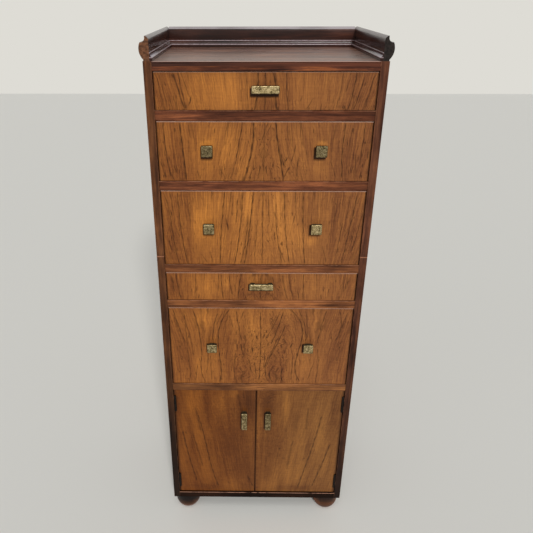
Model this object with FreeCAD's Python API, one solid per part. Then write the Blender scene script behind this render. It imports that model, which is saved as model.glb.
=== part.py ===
import FreeCAD, Part
import math
import os

# A tallboy: five drawers over a two-door cupboard, on four bun feet, with a low gallery round the top.
# Millimetres. X runs left to right, Y front to back, Z up from the floor.
# X and Y are zero in the middle of the whole piece, pulls and gallery included.

# Carcass
carcass_width = 520.0
carcass_depth = 360.0
side_thickness = 18.0
top_board_thickness = 10.0
top_rail_thickness = 9.5
rail_thickness = 22.0
rail_depth = 45.0
base_thickness = 20.5
back_panel_thickness = 5.0
back_rebate_width = 9.0
lipping_depth = 6.0
lipping_joint_height = 839.0
rail_setback = 2.0
arris_bevel = 0.7

# Clear openings between the rails, from the top down
opening_height_1 = 82.5
opening_height_2 = 138.5
opening_height_3 = 193.5
opening_height_4 = 80.5
opening_height_5 = 247.0
cupboard_opening_height = 402.0

# Drawers
front_recess = 5.0
drawer_front_thickness = 18.0
drawer_side_thickness = 11.0
drawer_back_thickness = 10.0
drawer_bottom_thickness = 5.0
drawer_bottom_rise = 8.0
drawer_groove_depth = 6.0
drawer_rear_gap = 10.0
drawer_side_gap = 1.0
drawer_top_gap = 1.5
drawer_side_top_gap = 4.0
running_gap = 0.3
dovetail_lap = 5.0
dovetail_pitch = 54.0
dovetail_slope_share = 0.14
dovetail_tail_share = 0.62
fewest_dovetails = 2

# Runners, kickers, stops and the board that closes the cupboard at its top
runner_width = 20.0
ceiling_thickness = 5.0
ceiling_groove_depth = 6.0
stop_width = 25.0
stop_depth = 12.0
stop_height = 5.5
stop_spacing = 300.0

# Doors, which meet a little left of the middle
door_thickness = 18.0
door_side_gap = 1.2
door_centre_gap = 1.6
door_end_gap = 1.5
door_meeting_offset = -7.0
door_stop_width = 80.0
door_stop_depth = 12.0
door_stop_height = 12.0

# Lift-off hinges: the lower knuckle is on the frame's leaf, and the door's upper knuckle drops over the pin
hinge_height = 50.0
hinge_inset = 25.0
knuckle_radius = 3.5
knuckle_play = 0.3
knuckle_bite = 2.0
knuckle_relief = 0.4
knuckle_tip_height = 4.0
knuckle_tip_radius = 1.6
hinge_leaf_thickness = 1.0
hinge_leaf_width = 22.0
hinge_pin_radius = 1.3
hinge_pin_length = 40.0
hinge_pin_clearance = 0.05

# Pulls: long bars on drawers 1 and 4 and on the doors, square knobs on drawers 2, 3 and 5
bar_length = 61.0
bar_width = 17.0
bar_thickness = 8.0
bar_crown = 1.2
bar_projection = 15.0
bar_post_length = 10.0
bar_post_width = 12.0
bar_post_inset = 3.0
bar_post_flare = 1.5
knob_size = 26.0
knob_head_thickness = 8.0
knob_projection = 18.0
knob_spacing = 257.0
knob_neck_size = 12.0
knob_neck_flare = 2.5
knob_bevel = 1.4
pull_rise = 4.0
door_handle_inset = 34.0
door_handle_drop = 106.5

# Gallery round the top, and the small moulding along its inside foot
gallery_height = 49.5
gallery_base_thickness = 13.0
gallery_base_setback = 2.0
gallery_base_fillet = 3.0
gallery_overhang = 6.5
gallery_overhang_height = 26.0
gallery_cove_foot_height = 37.0
gallery_cove_foot_overhang = 3.5
gallery_cove_head_height = 44.5
gallery_lip_setback = 7.0
gallery_inner_round = 6.0
inner_moulding_width = 6.5
inner_moulding_height = 17.0
inner_moulding_nose = 6.5
inner_moulding_head = 2.0
inner_moulding_hollow = 1.2

# Bun feet
foot_height = 62.0
foot_radius = 38.5
foot_pad_radius = 20.0
foot_inset = 40.0
foot_spigot_radius = 11.0
foot_spigot_length = 16.0
foot_spigot_clearance = 0.3

overrun = 5.0
same_place = 0.01

# Places worked out from the sizes
pull_reach = max(knob_projection, bar_projection) - front_recess
front_y = (pull_reach - carcass_depth) / 2
back_y = front_y + carcass_depth
inner_back_y = back_y - back_panel_thickness
half_width = carcass_width / 2
inner_half = half_width - side_thickness
face_y = front_y + front_recess

base_bottom = foot_height
base_top = base_bottom + base_thickness
cupboard_top = base_top + cupboard_opening_height
opening_heights = [opening_height_1, opening_height_2, opening_height_3, opening_height_4, opening_height_5]
drawer_count = len(opening_heights)


def opening_floor(number):
    """Height of the rail top that drawer `number` stands on; drawer 1 is the top one."""
    below = opening_heights[number:]
    return cupboard_top + rail_thickness + sum(height + rail_thickness for height in below)


carcass_top = opening_floor(1) + opening_height_1 + top_rail_thickness + top_board_thickness
drawer_back_y = inner_back_y - drawer_rear_gap
drawer_half = inner_half - drawer_side_gap
front_back_y = face_y + drawer_front_thickness

knuckle_x = inner_half - knuckle_play - knuckle_radius
knuckle_y = face_y - knuckle_radius + knuckle_bite
door_half_gap = door_centre_gap / 2
door_back_y = face_y + door_thickness
upper_hinge_z = cupboard_top - hinge_inset - hinge_height / 2
lower_hinge_z = base_top + hinge_inset + hinge_height / 2


def board(x_ends, y_ends, z_ends):
    """A plain board between two planes in each direction."""
    size = [ends[1] - ends[0] for ends in (x_ends, y_ends, z_ends)]
    return Part.makeBox(*size, FreeCAD.Vector(x_ends[0], y_ends[0], z_ends[0]))


def mirrored(shape):
    """The same piece on the other side of the middle."""
    return shape.mirror(FreeCAD.Vector(0, 0, 0), FreeCAD.Vector(1, 0, 0))


def soften_front(shape, plane_y, joint_z=None):
    """Take the sharpness off the arrises in the plane y = plane_y, except at a joint at height `joint_z`."""
    arrises = []
    for edge in shape.Edges:
        in_plane = all(abs(corner.Y - plane_y) < same_place for corner in edge.Vertexes)
        heights = [corner.Z for corner in edge.Vertexes]
        at_joint = joint_z is not None and all(abs(height - joint_z) < same_place for height in heights)
        if in_plane and not at_joint:
            arrises.append(edge)
    return shape.makeChamfer(arris_bevel, arrises)


def prism(outline, run):
    """A solid from a closed outline of edges, carried along the vector `run`."""
    face = Part.Face(Part.Wire(outline))
    return face.extrude(run)


def line(start, end):
    return Part.LineSegment(start, end).toShape()


def arc(start, middle, end):
    return Part.Arc(start, middle, end).toShape()


def polygon(points, run):
    """A solid from straight-sided outline points, carried along `run`."""
    return Part.Face(Part.makePolygon(points + points[:1])).extrude(run)


def save(name, shapes):
    """Write one node; pieces that come as a set go in together as separate solids."""
    whole = shapes[0] if len(shapes) == 1 else Part.makeCompound(shapes)
    whole.exportStep("parts/" + name + ".step")


# Carcass pieces

def side_board():
    """The right side: stops behind its lipping, rebated at the back for the back panel."""
    body = board((inner_half, half_width), (front_y + lipping_depth, back_y), (base_bottom, carcass_top))
    rebate = board((inner_half - overrun, inner_half + back_rebate_width), (inner_back_y, back_y + overrun),
                   (base_bottom - overrun, carcass_top + overrun))
    return body.cut(rebate)


def side_lipping():
    """The lipping on the right side's front edge, in two lengths that meet at a butt joint."""
    joint_z = base_bottom + lipping_joint_height
    lengths = []
    for z_ends in ((base_bottom, joint_z), (joint_z, carcass_top)):
        strip = board((inner_half, half_width), (front_y, front_y + lipping_depth), z_ends)
        lengths.append(soften_front(strip, front_y))
    return lengths


def top_board():
    joint_z = carcass_top - top_board_thickness
    panel = board((-inner_half, inner_half), (front_y, inner_back_y), (joint_z, carcass_top))
    return soften_front(panel, front_y, joint_z)


def top_rail():
    """The rail under the top board, glued to it with its front in the same plane."""
    joint_z = carcass_top - top_board_thickness
    rail = board((-inner_half, inner_half), (front_y, front_y + rail_setback + rail_depth),
                 (joint_z - top_rail_thickness, joint_z))
    return soften_front(rail, front_y, joint_z)


def foot_centres():
    """Centres of the four feet by name."""
    x = half_width - foot_inset
    centres = {}
    for depth_name, y in (("front", front_y + foot_inset), ("back", back_y - foot_inset)):
        centres[depth_name + "_left_foot"] = FreeCAD.Vector(-x, y, 0)
        centres[depth_name + "_right_foot"] = FreeCAD.Vector(x, y, 0)
    return centres


def base_board():
    """The bottom board, with a blind hole for each foot's spigot."""
    panel = board((-inner_half, inner_half), (front_y, inner_back_y), (base_bottom, base_top))
    panel = soften_front(panel, front_y)
    for centre in foot_centres().values():
        mouth = FreeCAD.Vector(centre.x, centre.y, base_bottom - overrun)
        depth = foot_spigot_length + foot_spigot_clearance + overrun
        panel = panel.cut(Part.makeCylinder(foot_spigot_radius + foot_spigot_clearance, depth, mouth))
    return panel


def back_panel():
    half = inner_half + back_rebate_width
    return board((-half, half), (inner_back_y, back_y), (base_bottom, carcass_top))


def drawer_rail(number):
    """The rail under drawer `number`; the lowest one is grooved behind for the cupboard ceiling."""
    top = opening_floor(number)
    front = front_y + rail_setback
    rail = board((-inner_half, inner_half), (front, front + rail_depth), (top - rail_thickness, top))
    rail = soften_front(rail, front)
    if number == drawer_count:
        rail = rail.cut(ceiling_panel())
    return rail


def ceiling_panel():
    """The thin board between the lowest runners that closes the cupboard from above."""
    half = inner_half - runner_width + ceiling_groove_depth
    middle = cupboard_top + rail_thickness / 2
    front = front_y + rail_setback + rail_depth - ceiling_groove_depth
    return board((-half, half), (front, inner_back_y),
                 (middle - ceiling_thickness / 2, middle + ceiling_thickness / 2))


def drawer_runners():
    """Two runners for each drawer, level with the rail in front of them."""
    front = front_y + rail_setback + rail_depth
    runners = []
    for number in range(1, drawer_count + 1):
        top = opening_floor(number)
        runner = board((inner_half - runner_width, inner_half), (front, inner_back_y),
                       (top - rail_thickness, top))
        if number == drawer_count:
            runner = runner.cut(ceiling_panel())
        runners.append(runner)
        runners.append(mirrored(runner))
    return runners


def top_kickers():
    """Strips under the top board that keep the first drawer from tipping."""
    kicker_top = carcass_top - top_board_thickness
    kicker = board((inner_half - runner_width, inner_half),
                   (front_y + rail_setback + rail_depth, inner_back_y),
                   (kicker_top - top_rail_thickness, kicker_top))
    return [kicker, mirrored(kicker)]


def drawer_stops():
    """Two small blocks on each rail, which the drawer front closes against."""
    front = front_back_y + running_gap
    blocks = []
    for number in range(1, drawer_count + 1):
        floor = opening_floor(number)
        for side in (-1, 1):
            x = side * stop_spacing / 2
            blocks.append(board((x - stop_width / 2, x + stop_width / 2), (front, front + stop_depth),
                                (floor, floor + stop_height)))
    return blocks


def door_stop():
    """The block under the lowest rail that both doors close against."""
    front = door_back_y + running_gap
    return board((door_meeting_offset - door_stop_width / 2, door_meeting_offset + door_stop_width / 2),
                 (front, front + door_stop_depth), (cupboard_top - door_stop_height, cupboard_top))


# Gallery

def gallery_point(out, up):
    """A point of the side gallery's section: `out` from the carcass side, `up` from the top board."""
    return FreeCAD.Vector(half_width + out, front_y, carcass_top + up)


def gallery_side():
    """The right gallery rail: a moulded board with a round belly, a cove above it and a narrow lip."""
    inner_foot = gallery_point(-gallery_base_setback - gallery_base_thickness, 0)
    inner_head = gallery_point(-gallery_base_setback - gallery_base_thickness,
                               gallery_height - gallery_inner_round)
    round_cut = gallery_inner_round * (1 - math.sqrt(0.5))
    round_middle = gallery_point(-gallery_base_setback - gallery_base_thickness + round_cut,
                                 gallery_height - round_cut)
    lip_inner = gallery_point(-gallery_base_setback - gallery_base_thickness + gallery_inner_round,
                              gallery_height)
    lip_outer = gallery_point(-gallery_lip_setback, gallery_height)
    cove_head = gallery_point(-gallery_lip_setback, gallery_cove_head_height)
    cove_rise = gallery_cove_head_height - gallery_cove_foot_height
    cove_run = gallery_lip_setback + gallery_cove_foot_overhang
    cove_middle = gallery_point(-gallery_lip_setback + cove_run * (1 - math.sqrt(0.5)),
                                gallery_cove_foot_height + cove_rise * (1 - math.sqrt(0.5)))
    cove_foot = gallery_point(gallery_cove_foot_overhang, gallery_cove_foot_height)
    belly = gallery_point(gallery_overhang, gallery_overhang_height)
    belly_foot = gallery_point(-gallery_base_setback, gallery_base_fillet)
    outer_foot = gallery_point(-gallery_base_setback, 0)
    outline = [line(inner_foot, inner_head), arc(inner_head, round_middle, lip_inner),
               line(lip_inner, lip_outer), line(lip_outer, cove_head), arc(cove_head, cove_middle, cove_foot),
               arc(cove_foot, belly, belly_foot), line(belly_foot, outer_foot), line(outer_foot, inner_foot)]
    return prism(outline, FreeCAD.Vector(0, carcass_depth, 0))


def gallery_back():
    """The back gallery rail, flat behind, fitted between the two side rails."""
    half = half_width - gallery_base_setback - gallery_base_thickness
    inner_y = back_y - gallery_base_thickness

    def point(back, up):
        return FreeCAD.Vector(-half, inner_y + back, carcass_top + up)

    round_cut = gallery_inner_round * (1 - math.sqrt(0.5))
    inner_head = point(0, gallery_height - gallery_inner_round)
    round_middle = point(round_cut, gallery_height - round_cut)
    lip_inner = point(gallery_inner_round, gallery_height)
    outer_head = point(gallery_base_thickness, gallery_height)
    outer_foot = point(gallery_base_thickness, 0)
    outline = [line(point(0, 0), inner_head), arc(inner_head, round_middle, lip_inner),
               line(lip_inner, outer_head), line(outer_head, outer_foot), line(outer_foot, point(0, 0))]
    return prism(outline, FreeCAD.Vector(2 * half, 0, 0))


def inner_moulding_outline(place):
    """Section of the small inside moulding; `place(out, up)` puts a point of it in space."""
    nose_foot = place(inner_moulding_width, 0)
    nose_head = place(inner_moulding_width, inner_moulding_nose)
    hollow_head = place(inner_moulding_hollow, inner_moulding_height - inner_moulding_head)
    hollow_middle = place((inner_moulding_width + inner_moulding_hollow) / 2 - inner_moulding_hollow,
                          (inner_moulding_nose + inner_moulding_height - inner_moulding_head) / 2
                          - inner_moulding_hollow)
    head_outer = place(inner_moulding_hollow, inner_moulding_height)
    head_inner = place(0, inner_moulding_height)
    return [line(place(0, 0), nose_foot), line(nose_foot, nose_head),
            arc(nose_head, hollow_middle, hollow_head), line(hollow_head, head_outer),
            line(head_outer, head_inner), line(head_inner, place(0, 0))]


def gallery_inner_moulding():
    """Three lengths along the gallery's inside foot, mitred where they meet at the back corners."""
    side_x = half_width - gallery_base_setback - gallery_base_thickness
    wall_y = back_y - gallery_base_thickness
    depth = wall_y - front_y

    def on_side(out, up):
        return FreeCAD.Vector(side_x - out, front_y, carcass_top + up)

    def on_back(out, up):
        return FreeCAD.Vector(-side_x, wall_y - out, carcass_top + up)

    side_length = prism(inner_moulding_outline(on_side), FreeCAD.Vector(0, depth, 0))
    back_length = prism(inner_moulding_outline(on_back), FreeCAD.Vector(2 * side_x, 0, 0))
    reach = 2 * inner_moulding_width
    low = carcass_top - overrun
    corner = FreeCAD.Vector(side_x, wall_y, low)
    rise = FreeCAD.Vector(0, 0, inner_moulding_height + 2 * overrun)
    behind_mitre = polygon([corner, corner + FreeCAD.Vector(-reach, -reach, 0),
                            corner + FreeCAD.Vector(-reach, 0, 0)], rise)
    beside_mitre = polygon([corner, corner + FreeCAD.Vector(-reach, -reach, 0),
                            corner + FreeCAD.Vector(0, -reach, 0)], rise)
    right = side_length.cut(behind_mitre)
    back = back_length.cut(beside_mitre).cut(mirrored(beside_mitre))
    return [mirrored(right), back, right]


# Feet

def bun_foot(centre):
    """A turned foot: half a ball, cut flat where it stands, under a straight drum with a spigot on top."""
    up = FreeCAD.Vector(0, 0, 1)
    drum_start = math.sqrt(foot_radius ** 2 - foot_pad_radius ** 2)
    pad_latitude = -math.degrees(math.acos(foot_pad_radius / foot_radius))
    bowl = Part.makeSphere(foot_radius, centre + up * drum_start, up, pad_latitude, 0, 360)
    drum = Part.makeCylinder(foot_radius, foot_height - drum_start, centre + up * drum_start)
    spigot = Part.makeCylinder(foot_spigot_radius, foot_spigot_length, centre + up * foot_height)
    return bowl.fuse([drum, spigot]).removeSplitter()


# Drawers

def tail(y_shoulder, y_tip, z_middle, tip_height):
    """One dovetail on the right side board, widening from its shoulder to its tip."""
    slope = dovetail_slope_share * abs(y_tip - y_shoulder)
    shoulder_half = tip_height / 2 - slope
    tip_half = tip_height / 2
    x = drawer_half - drawer_side_thickness
    points = [FreeCAD.Vector(x, y_shoulder, z_middle - shoulder_half),
              FreeCAD.Vector(x, y_tip, z_middle - tip_half),
              FreeCAD.Vector(x, y_tip, z_middle + tip_half),
              FreeCAD.Vector(x, y_shoulder, z_middle + shoulder_half)]
    return polygon(points, FreeCAD.Vector(drawer_side_thickness, 0, 0))


def tail_row(y_shoulder, y_tip, z_low, z_high):
    """As many evenly spaced dovetails as the height of the board calls for."""
    count = max(fewest_dovetails, round((z_high - z_low) / dovetail_pitch))
    pitch = (z_high - z_low) / count
    return [tail(y_shoulder, y_tip, z_low + pitch * (step + 0.5), pitch * dovetail_tail_share)
            for step in range(count)]


def drawer_heights(number):
    """Lower edge, upper edge of the front and upper edge of the box of drawer `number`."""
    floor = opening_floor(number)
    ceiling = floor + opening_heights[number - 1]
    return floor + running_gap, ceiling - drawer_top_gap, ceiling - drawer_side_top_gap


def drawer_bottom(number):
    """The thin bottom, let into grooves in the front and sides and slid in under the back."""
    low = drawer_heights(number)[0] + drawer_bottom_rise
    half = drawer_half - drawer_side_thickness + drawer_groove_depth
    return board((-half, half), (front_back_y - drawer_groove_depth, drawer_back_y),
                 (low, low + drawer_bottom_thickness))


def drawer_side(number):
    """The right side board: lapped dovetails in front, through dovetails behind, a groove inside."""
    low, _, high = drawer_heights(number)
    x_ends = (drawer_half - drawer_side_thickness, drawer_half)
    back_low = low + drawer_bottom_rise + drawer_bottom_thickness
    back_front_y = drawer_back_y - drawer_back_thickness
    body = board(x_ends, (front_back_y, drawer_back_y), (low, high))
    body = body.fuse(tail_row(front_back_y, face_y + dovetail_lap, low, high))
    pins = board(x_ends, (back_front_y, drawer_back_y), (back_low, high))
    pins = pins.cut(Part.makeCompound(tail_row(back_front_y, drawer_back_y, back_low, high)))
    body = body.cut(pins).cut(drawer_bottom(number))
    return body.removeSplitter()


def drawer_front(number):
    """The front, with blind sockets for the sides' dovetails and a groove for the bottom."""
    low, high, _ = drawer_heights(number)
    panel = board((-drawer_half, drawer_half), (face_y, front_back_y), (low, high))
    panel = soften_front(panel, face_y)
    side = drawer_side(number)
    return panel.cut(side).cut(mirrored(side)).cut(drawer_bottom(number))


def drawer_back(number):
    """The back, standing on the bottom between and through the sides' dovetails."""
    low, _, high = drawer_heights(number)
    back_low = low + drawer_bottom_rise + drawer_bottom_thickness
    panel = board((-drawer_half, drawer_half), (drawer_back_y - drawer_back_thickness, drawer_back_y),
                  (back_low, high))
    side = drawer_side(number)
    return panel.cut(side).cut(mirrored(side))


# Pulls

def bar_pull(centre, upright):
    """A cast bar with a slightly crowned face on two flared posts; `centre` lies on the drawer face."""
    half_length = bar_length / 2
    half_width_of_bar = bar_width / 2
    back = -(bar_projection - bar_thickness)
    front = -(bar_projection - bar_crown)
    section = [FreeCAD.Vector(-half_length, back, -half_width_of_bar),
               FreeCAD.Vector(-half_length, front, -half_width_of_bar),
               FreeCAD.Vector(-half_length, -bar_projection, 0),
               FreeCAD.Vector(-half_length, front, half_width_of_bar),
               FreeCAD.Vector(-half_length, back, half_width_of_bar)]
    outline = [line(section[0], section[1]), arc(section[1], section[2], section[3]),
               line(section[3], section[4]), line(section[4], section[0])]
    pull = prism(outline, FreeCAD.Vector(bar_length, 0, 0))
    post_x = half_length - bar_post_inset - bar_post_length / 2
    for x in (-post_x, post_x):
        pull = pull.fuse(flared_post(x, back, bar_post_length / 2, bar_post_width / 2, bar_post_flare))
    if upright:
        pull.rotate(FreeCAD.Vector(0, 0, 0), FreeCAD.Vector(0, 1, 0), 90)
    pull.translate(centre)
    return pull.removeSplitter()


def flared_post(x, back, half_x, half_z, flare):
    """A four-sided post from the face to y = back, wider by `flare` all round where it meets the face."""
    return Part.makeWedge(x - half_x, back, -half_z, -half_z - flare, x - half_x - flare,
                          x + half_x, 0, half_z, half_z + flare, x + half_x + flare)


def knob(centre):
    """A square cast head with a bevelled rim, on a square neck that flares towards the drawer face."""
    half = knob_size / 2
    half_neck = knob_neck_size / 2
    head_back = -(knob_projection - knob_head_thickness)
    head = board((-half, half), (-knob_projection, head_back), (-half, half))
    rim = [edge for edge in head.Edges
           if all(corner.Y < head_back - same_place for corner in edge.Vertexes)]
    head = head.makeChamfer(knob_bevel, rim)
    neck = flared_post(0, head_back, half_neck, half_neck, knob_neck_flare)
    whole = head.fuse(neck).removeSplitter()
    whole.translate(centre)
    return whole


def drawer_pulls(number, has_bar):
    """The bar, or the pair of knobs, on the front of drawer `number`."""
    z = opening_floor(number) + opening_heights[number - 1] / 2 + pull_rise
    if has_bar:
        return [bar_pull(FreeCAD.Vector(0, face_y, z), False)]
    return [knob(FreeCAD.Vector(side * knob_spacing / 2, face_y, z)) for side in (-1, 1)]


def door_handle(side):
    x = door_meeting_offset + side * door_handle_inset
    return bar_pull(FreeCAD.Vector(x, face_y, cupboard_top - door_handle_drop), True)


# Hinges

def hinge_leaf(z_middle, up, x_ends, plate_start):
    """One leaf of a right-hand hinge: a plate and half the barrel, with a blind bore for the pin.

    `up` is 1 for the leaf with the upper knuckle and -1 for the one with the lower.
    """
    half = hinge_height / 2
    length = half - knuckle_play / 2
    axis = FreeCAD.Vector(knuckle_x, knuckle_y, z_middle)
    outward = FreeCAD.Vector(0, 0, up)
    barrel = Part.makeCylinder(knuckle_radius, length, axis + outward * (knuckle_play / 2), outward)
    tip_foot = axis + outward * half
    tip = Part.makeCone(knuckle_radius, knuckle_tip_radius, knuckle_tip_height, tip_foot, outward)
    plate = board(x_ends, (knuckle_y + plate_start, knuckle_y + hinge_leaf_width),
                  (z_middle - half, z_middle + half))
    tongue = board(x_ends, (knuckle_y, knuckle_y + plate_start + overrun),
                   sorted((z_middle + up * knuckle_play / 2, z_middle + up * half)))
    reach = hinge_pin_length / 2 + hinge_pin_clearance
    bore = Part.makeCylinder(hinge_pin_radius + hinge_pin_clearance, 2 * reach,
                             axis - FreeCAD.Vector(0, 0, reach))
    return barrel.fuse([tip, plate, tongue]).cut(bore).removeSplitter()


def plate_offset(x_near):
    """How far behind the pin a plate starts, to clear the other leaf's knuckles all the way round."""
    clear_radius = knuckle_radius + knuckle_play
    return math.sqrt(clear_radius ** 2 - (x_near - knuckle_x) ** 2)


frame_leaf_x = (inner_half - hinge_leaf_thickness, inner_half)
door_leaf_x = (inner_half - door_side_gap - hinge_leaf_thickness, inner_half - door_side_gap)


def frame_leaf(z_middle):
    return hinge_leaf(z_middle, -1, frame_leaf_x, plate_offset(frame_leaf_x[0]))


def door_leaf(z_middle):
    return hinge_leaf(z_middle, 1, door_leaf_x, plate_offset(door_leaf_x[0]))


def hinge_pin(z_middle):
    """The pin inside both knuckles of a right-hand hinge."""
    foot = FreeCAD.Vector(knuckle_x, knuckle_y, z_middle - hinge_pin_length / 2)
    return Part.makeCylinder(hinge_pin_radius, hinge_pin_length, foot)


# Doors

def door_panel(side):
    """A plain slab, let in at its hinged edge for the leaves and hollowed round the knuckles."""
    meeting = side * door_meeting_offset + door_half_gap
    outer = inner_half - door_side_gap
    panel = board((meeting, outer), (face_y, door_back_y),
                  (base_top + door_end_gap, cupboard_top - door_end_gap))
    panel = soften_front(panel, face_y)
    for z_middle in (lower_hinge_z, upper_hinge_z):
        half = hinge_height / 2
        panel = panel.cut(board(door_leaf_x, (knuckle_y, knuckle_y + hinge_leaf_width),
                                (z_middle - half, z_middle + half)))
        relief_half = half + knuckle_tip_height + knuckle_relief
        panel = panel.cut(Part.makeCylinder(knuckle_radius + knuckle_relief, 2 * relief_half,
                                            FreeCAD.Vector(knuckle_x, knuckle_y, z_middle - relief_half)))
    return panel if side > 0 else mirrored(panel)


# Write every node

os.makedirs("parts", exist_ok=True)

save("right_side", [side_board()])
save("left_side", [mirrored(side_board())])
save("right_stile_lipping", side_lipping())
save("left_stile_lipping", [mirrored(strip) for strip in side_lipping()])
save("top_board", [top_board()])
save("top_rail", [top_rail()])
save("base_board", [base_board()])
save("back_panel", [back_panel()])
save("cupboard_ceiling", [ceiling_panel()])
save("drawer_runners", drawer_runners())
save("top_kickers", top_kickers())
save("drawer_stops", drawer_stops())
save("door_stop", [door_stop()])
save("gallery_right", [gallery_side()])
save("gallery_left", [mirrored(gallery_side())])
save("gallery_back", [gallery_back()])
save("gallery_inner_moulding", gallery_inner_moulding())
save("bun_feet", [bun_foot(centre) for centre in foot_centres().values()])

hinge_heights = (lower_hinge_z, upper_hinge_z)
frame_leaves = [frame_leaf(z) for z in hinge_heights]
door_leaves = [door_leaf(z) for z in hinge_heights]
pins = [hinge_pin(z) for z in hinge_heights]
save("hinge_frame_leaves", frame_leaves + [mirrored(leaf) for leaf in frame_leaves])
save("hinge_pins", pins + [mirrored(pin) for pin in pins])
save("right_door_hinge_leaves", door_leaves)
save("left_door_hinge_leaves", [mirrored(leaf) for leaf in door_leaves])
save("right_door_panel", [door_panel(1)])
save("left_door_panel", [door_panel(-1)])
save("right_door_handle", [door_handle(1)])
save("left_door_handle", [door_handle(-1)])

drawers_with_bars = (1, 4)
for drawer in range(1, drawer_count + 1):
    name = "drawer_" + str(drawer)
    right = drawer_side(drawer)
    has_bar = drawer in drawers_with_bars
    save("rail_" + str(drawer), [drawer_rail(drawer)])
    save(name + "_front", [drawer_front(drawer)])
    save(name + "_sides", [mirrored(right), right])
    save(name + "_back", [drawer_back(drawer)])
    save(name + "_bottom", [drawer_bottom(drawer)])
    save(name + ("_handle" if has_bar else "_knobs"), drawer_pulls(drawer, has_bar))
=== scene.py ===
import math

import bpy
import numpy as np
from mathutils import Matrix, Vector


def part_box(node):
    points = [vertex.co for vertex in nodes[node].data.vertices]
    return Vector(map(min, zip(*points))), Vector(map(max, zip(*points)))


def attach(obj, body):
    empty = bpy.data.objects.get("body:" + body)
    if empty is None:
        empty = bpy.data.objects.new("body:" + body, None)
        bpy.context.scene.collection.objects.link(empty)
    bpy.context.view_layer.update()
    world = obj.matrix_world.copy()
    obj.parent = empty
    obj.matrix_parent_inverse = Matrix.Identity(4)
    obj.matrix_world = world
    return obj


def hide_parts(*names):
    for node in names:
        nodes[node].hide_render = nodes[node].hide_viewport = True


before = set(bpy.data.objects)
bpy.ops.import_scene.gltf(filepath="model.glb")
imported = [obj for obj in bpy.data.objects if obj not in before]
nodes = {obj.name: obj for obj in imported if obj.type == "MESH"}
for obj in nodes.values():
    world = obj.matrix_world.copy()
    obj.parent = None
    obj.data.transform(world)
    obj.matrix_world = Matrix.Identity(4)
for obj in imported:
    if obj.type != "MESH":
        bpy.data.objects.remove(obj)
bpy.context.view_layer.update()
scene = bpy.context.scene
mm = 0.001


def linear(colour):
    # a screen colour, 0 to 255, as the light values that a shader takes
    share = np.array(colour, float) / 255
    light = np.where(share <= 0.04045, share / 12.92, ((share + 0.055) / 1.055) ** 2.4)
    return (*light.tolist(), 1.0)


class NodeGraph:
    # each call adds a node and gives back its output; a value is a number, a colour or another output

    def __init__(self, tree):
        self.tree = tree
        tree.nodes.clear()

    def feed(self, socket, value):
        if isinstance(value, bpy.types.NodeSocket):
            self.tree.links.new(value, socket)
        else:
            socket.default_value = value

    def add(self, kind, sockets, output=0, **settings):
        made = self.tree.nodes.new("ShaderNode" + kind)
        for name, value in settings.items():
            setattr(made, name, value)
        for name, value in sockets.items():
            self.feed(made.inputs[name], value)
        return made.outputs[output]

    def maths(self, operation, *values):
        return self.add("Math", dict(enumerate(values)), operation=operation)

    def vectors(self, operation, *values):
        return self.add("VectorMath", dict(enumerate(values)), operation=operation)


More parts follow.
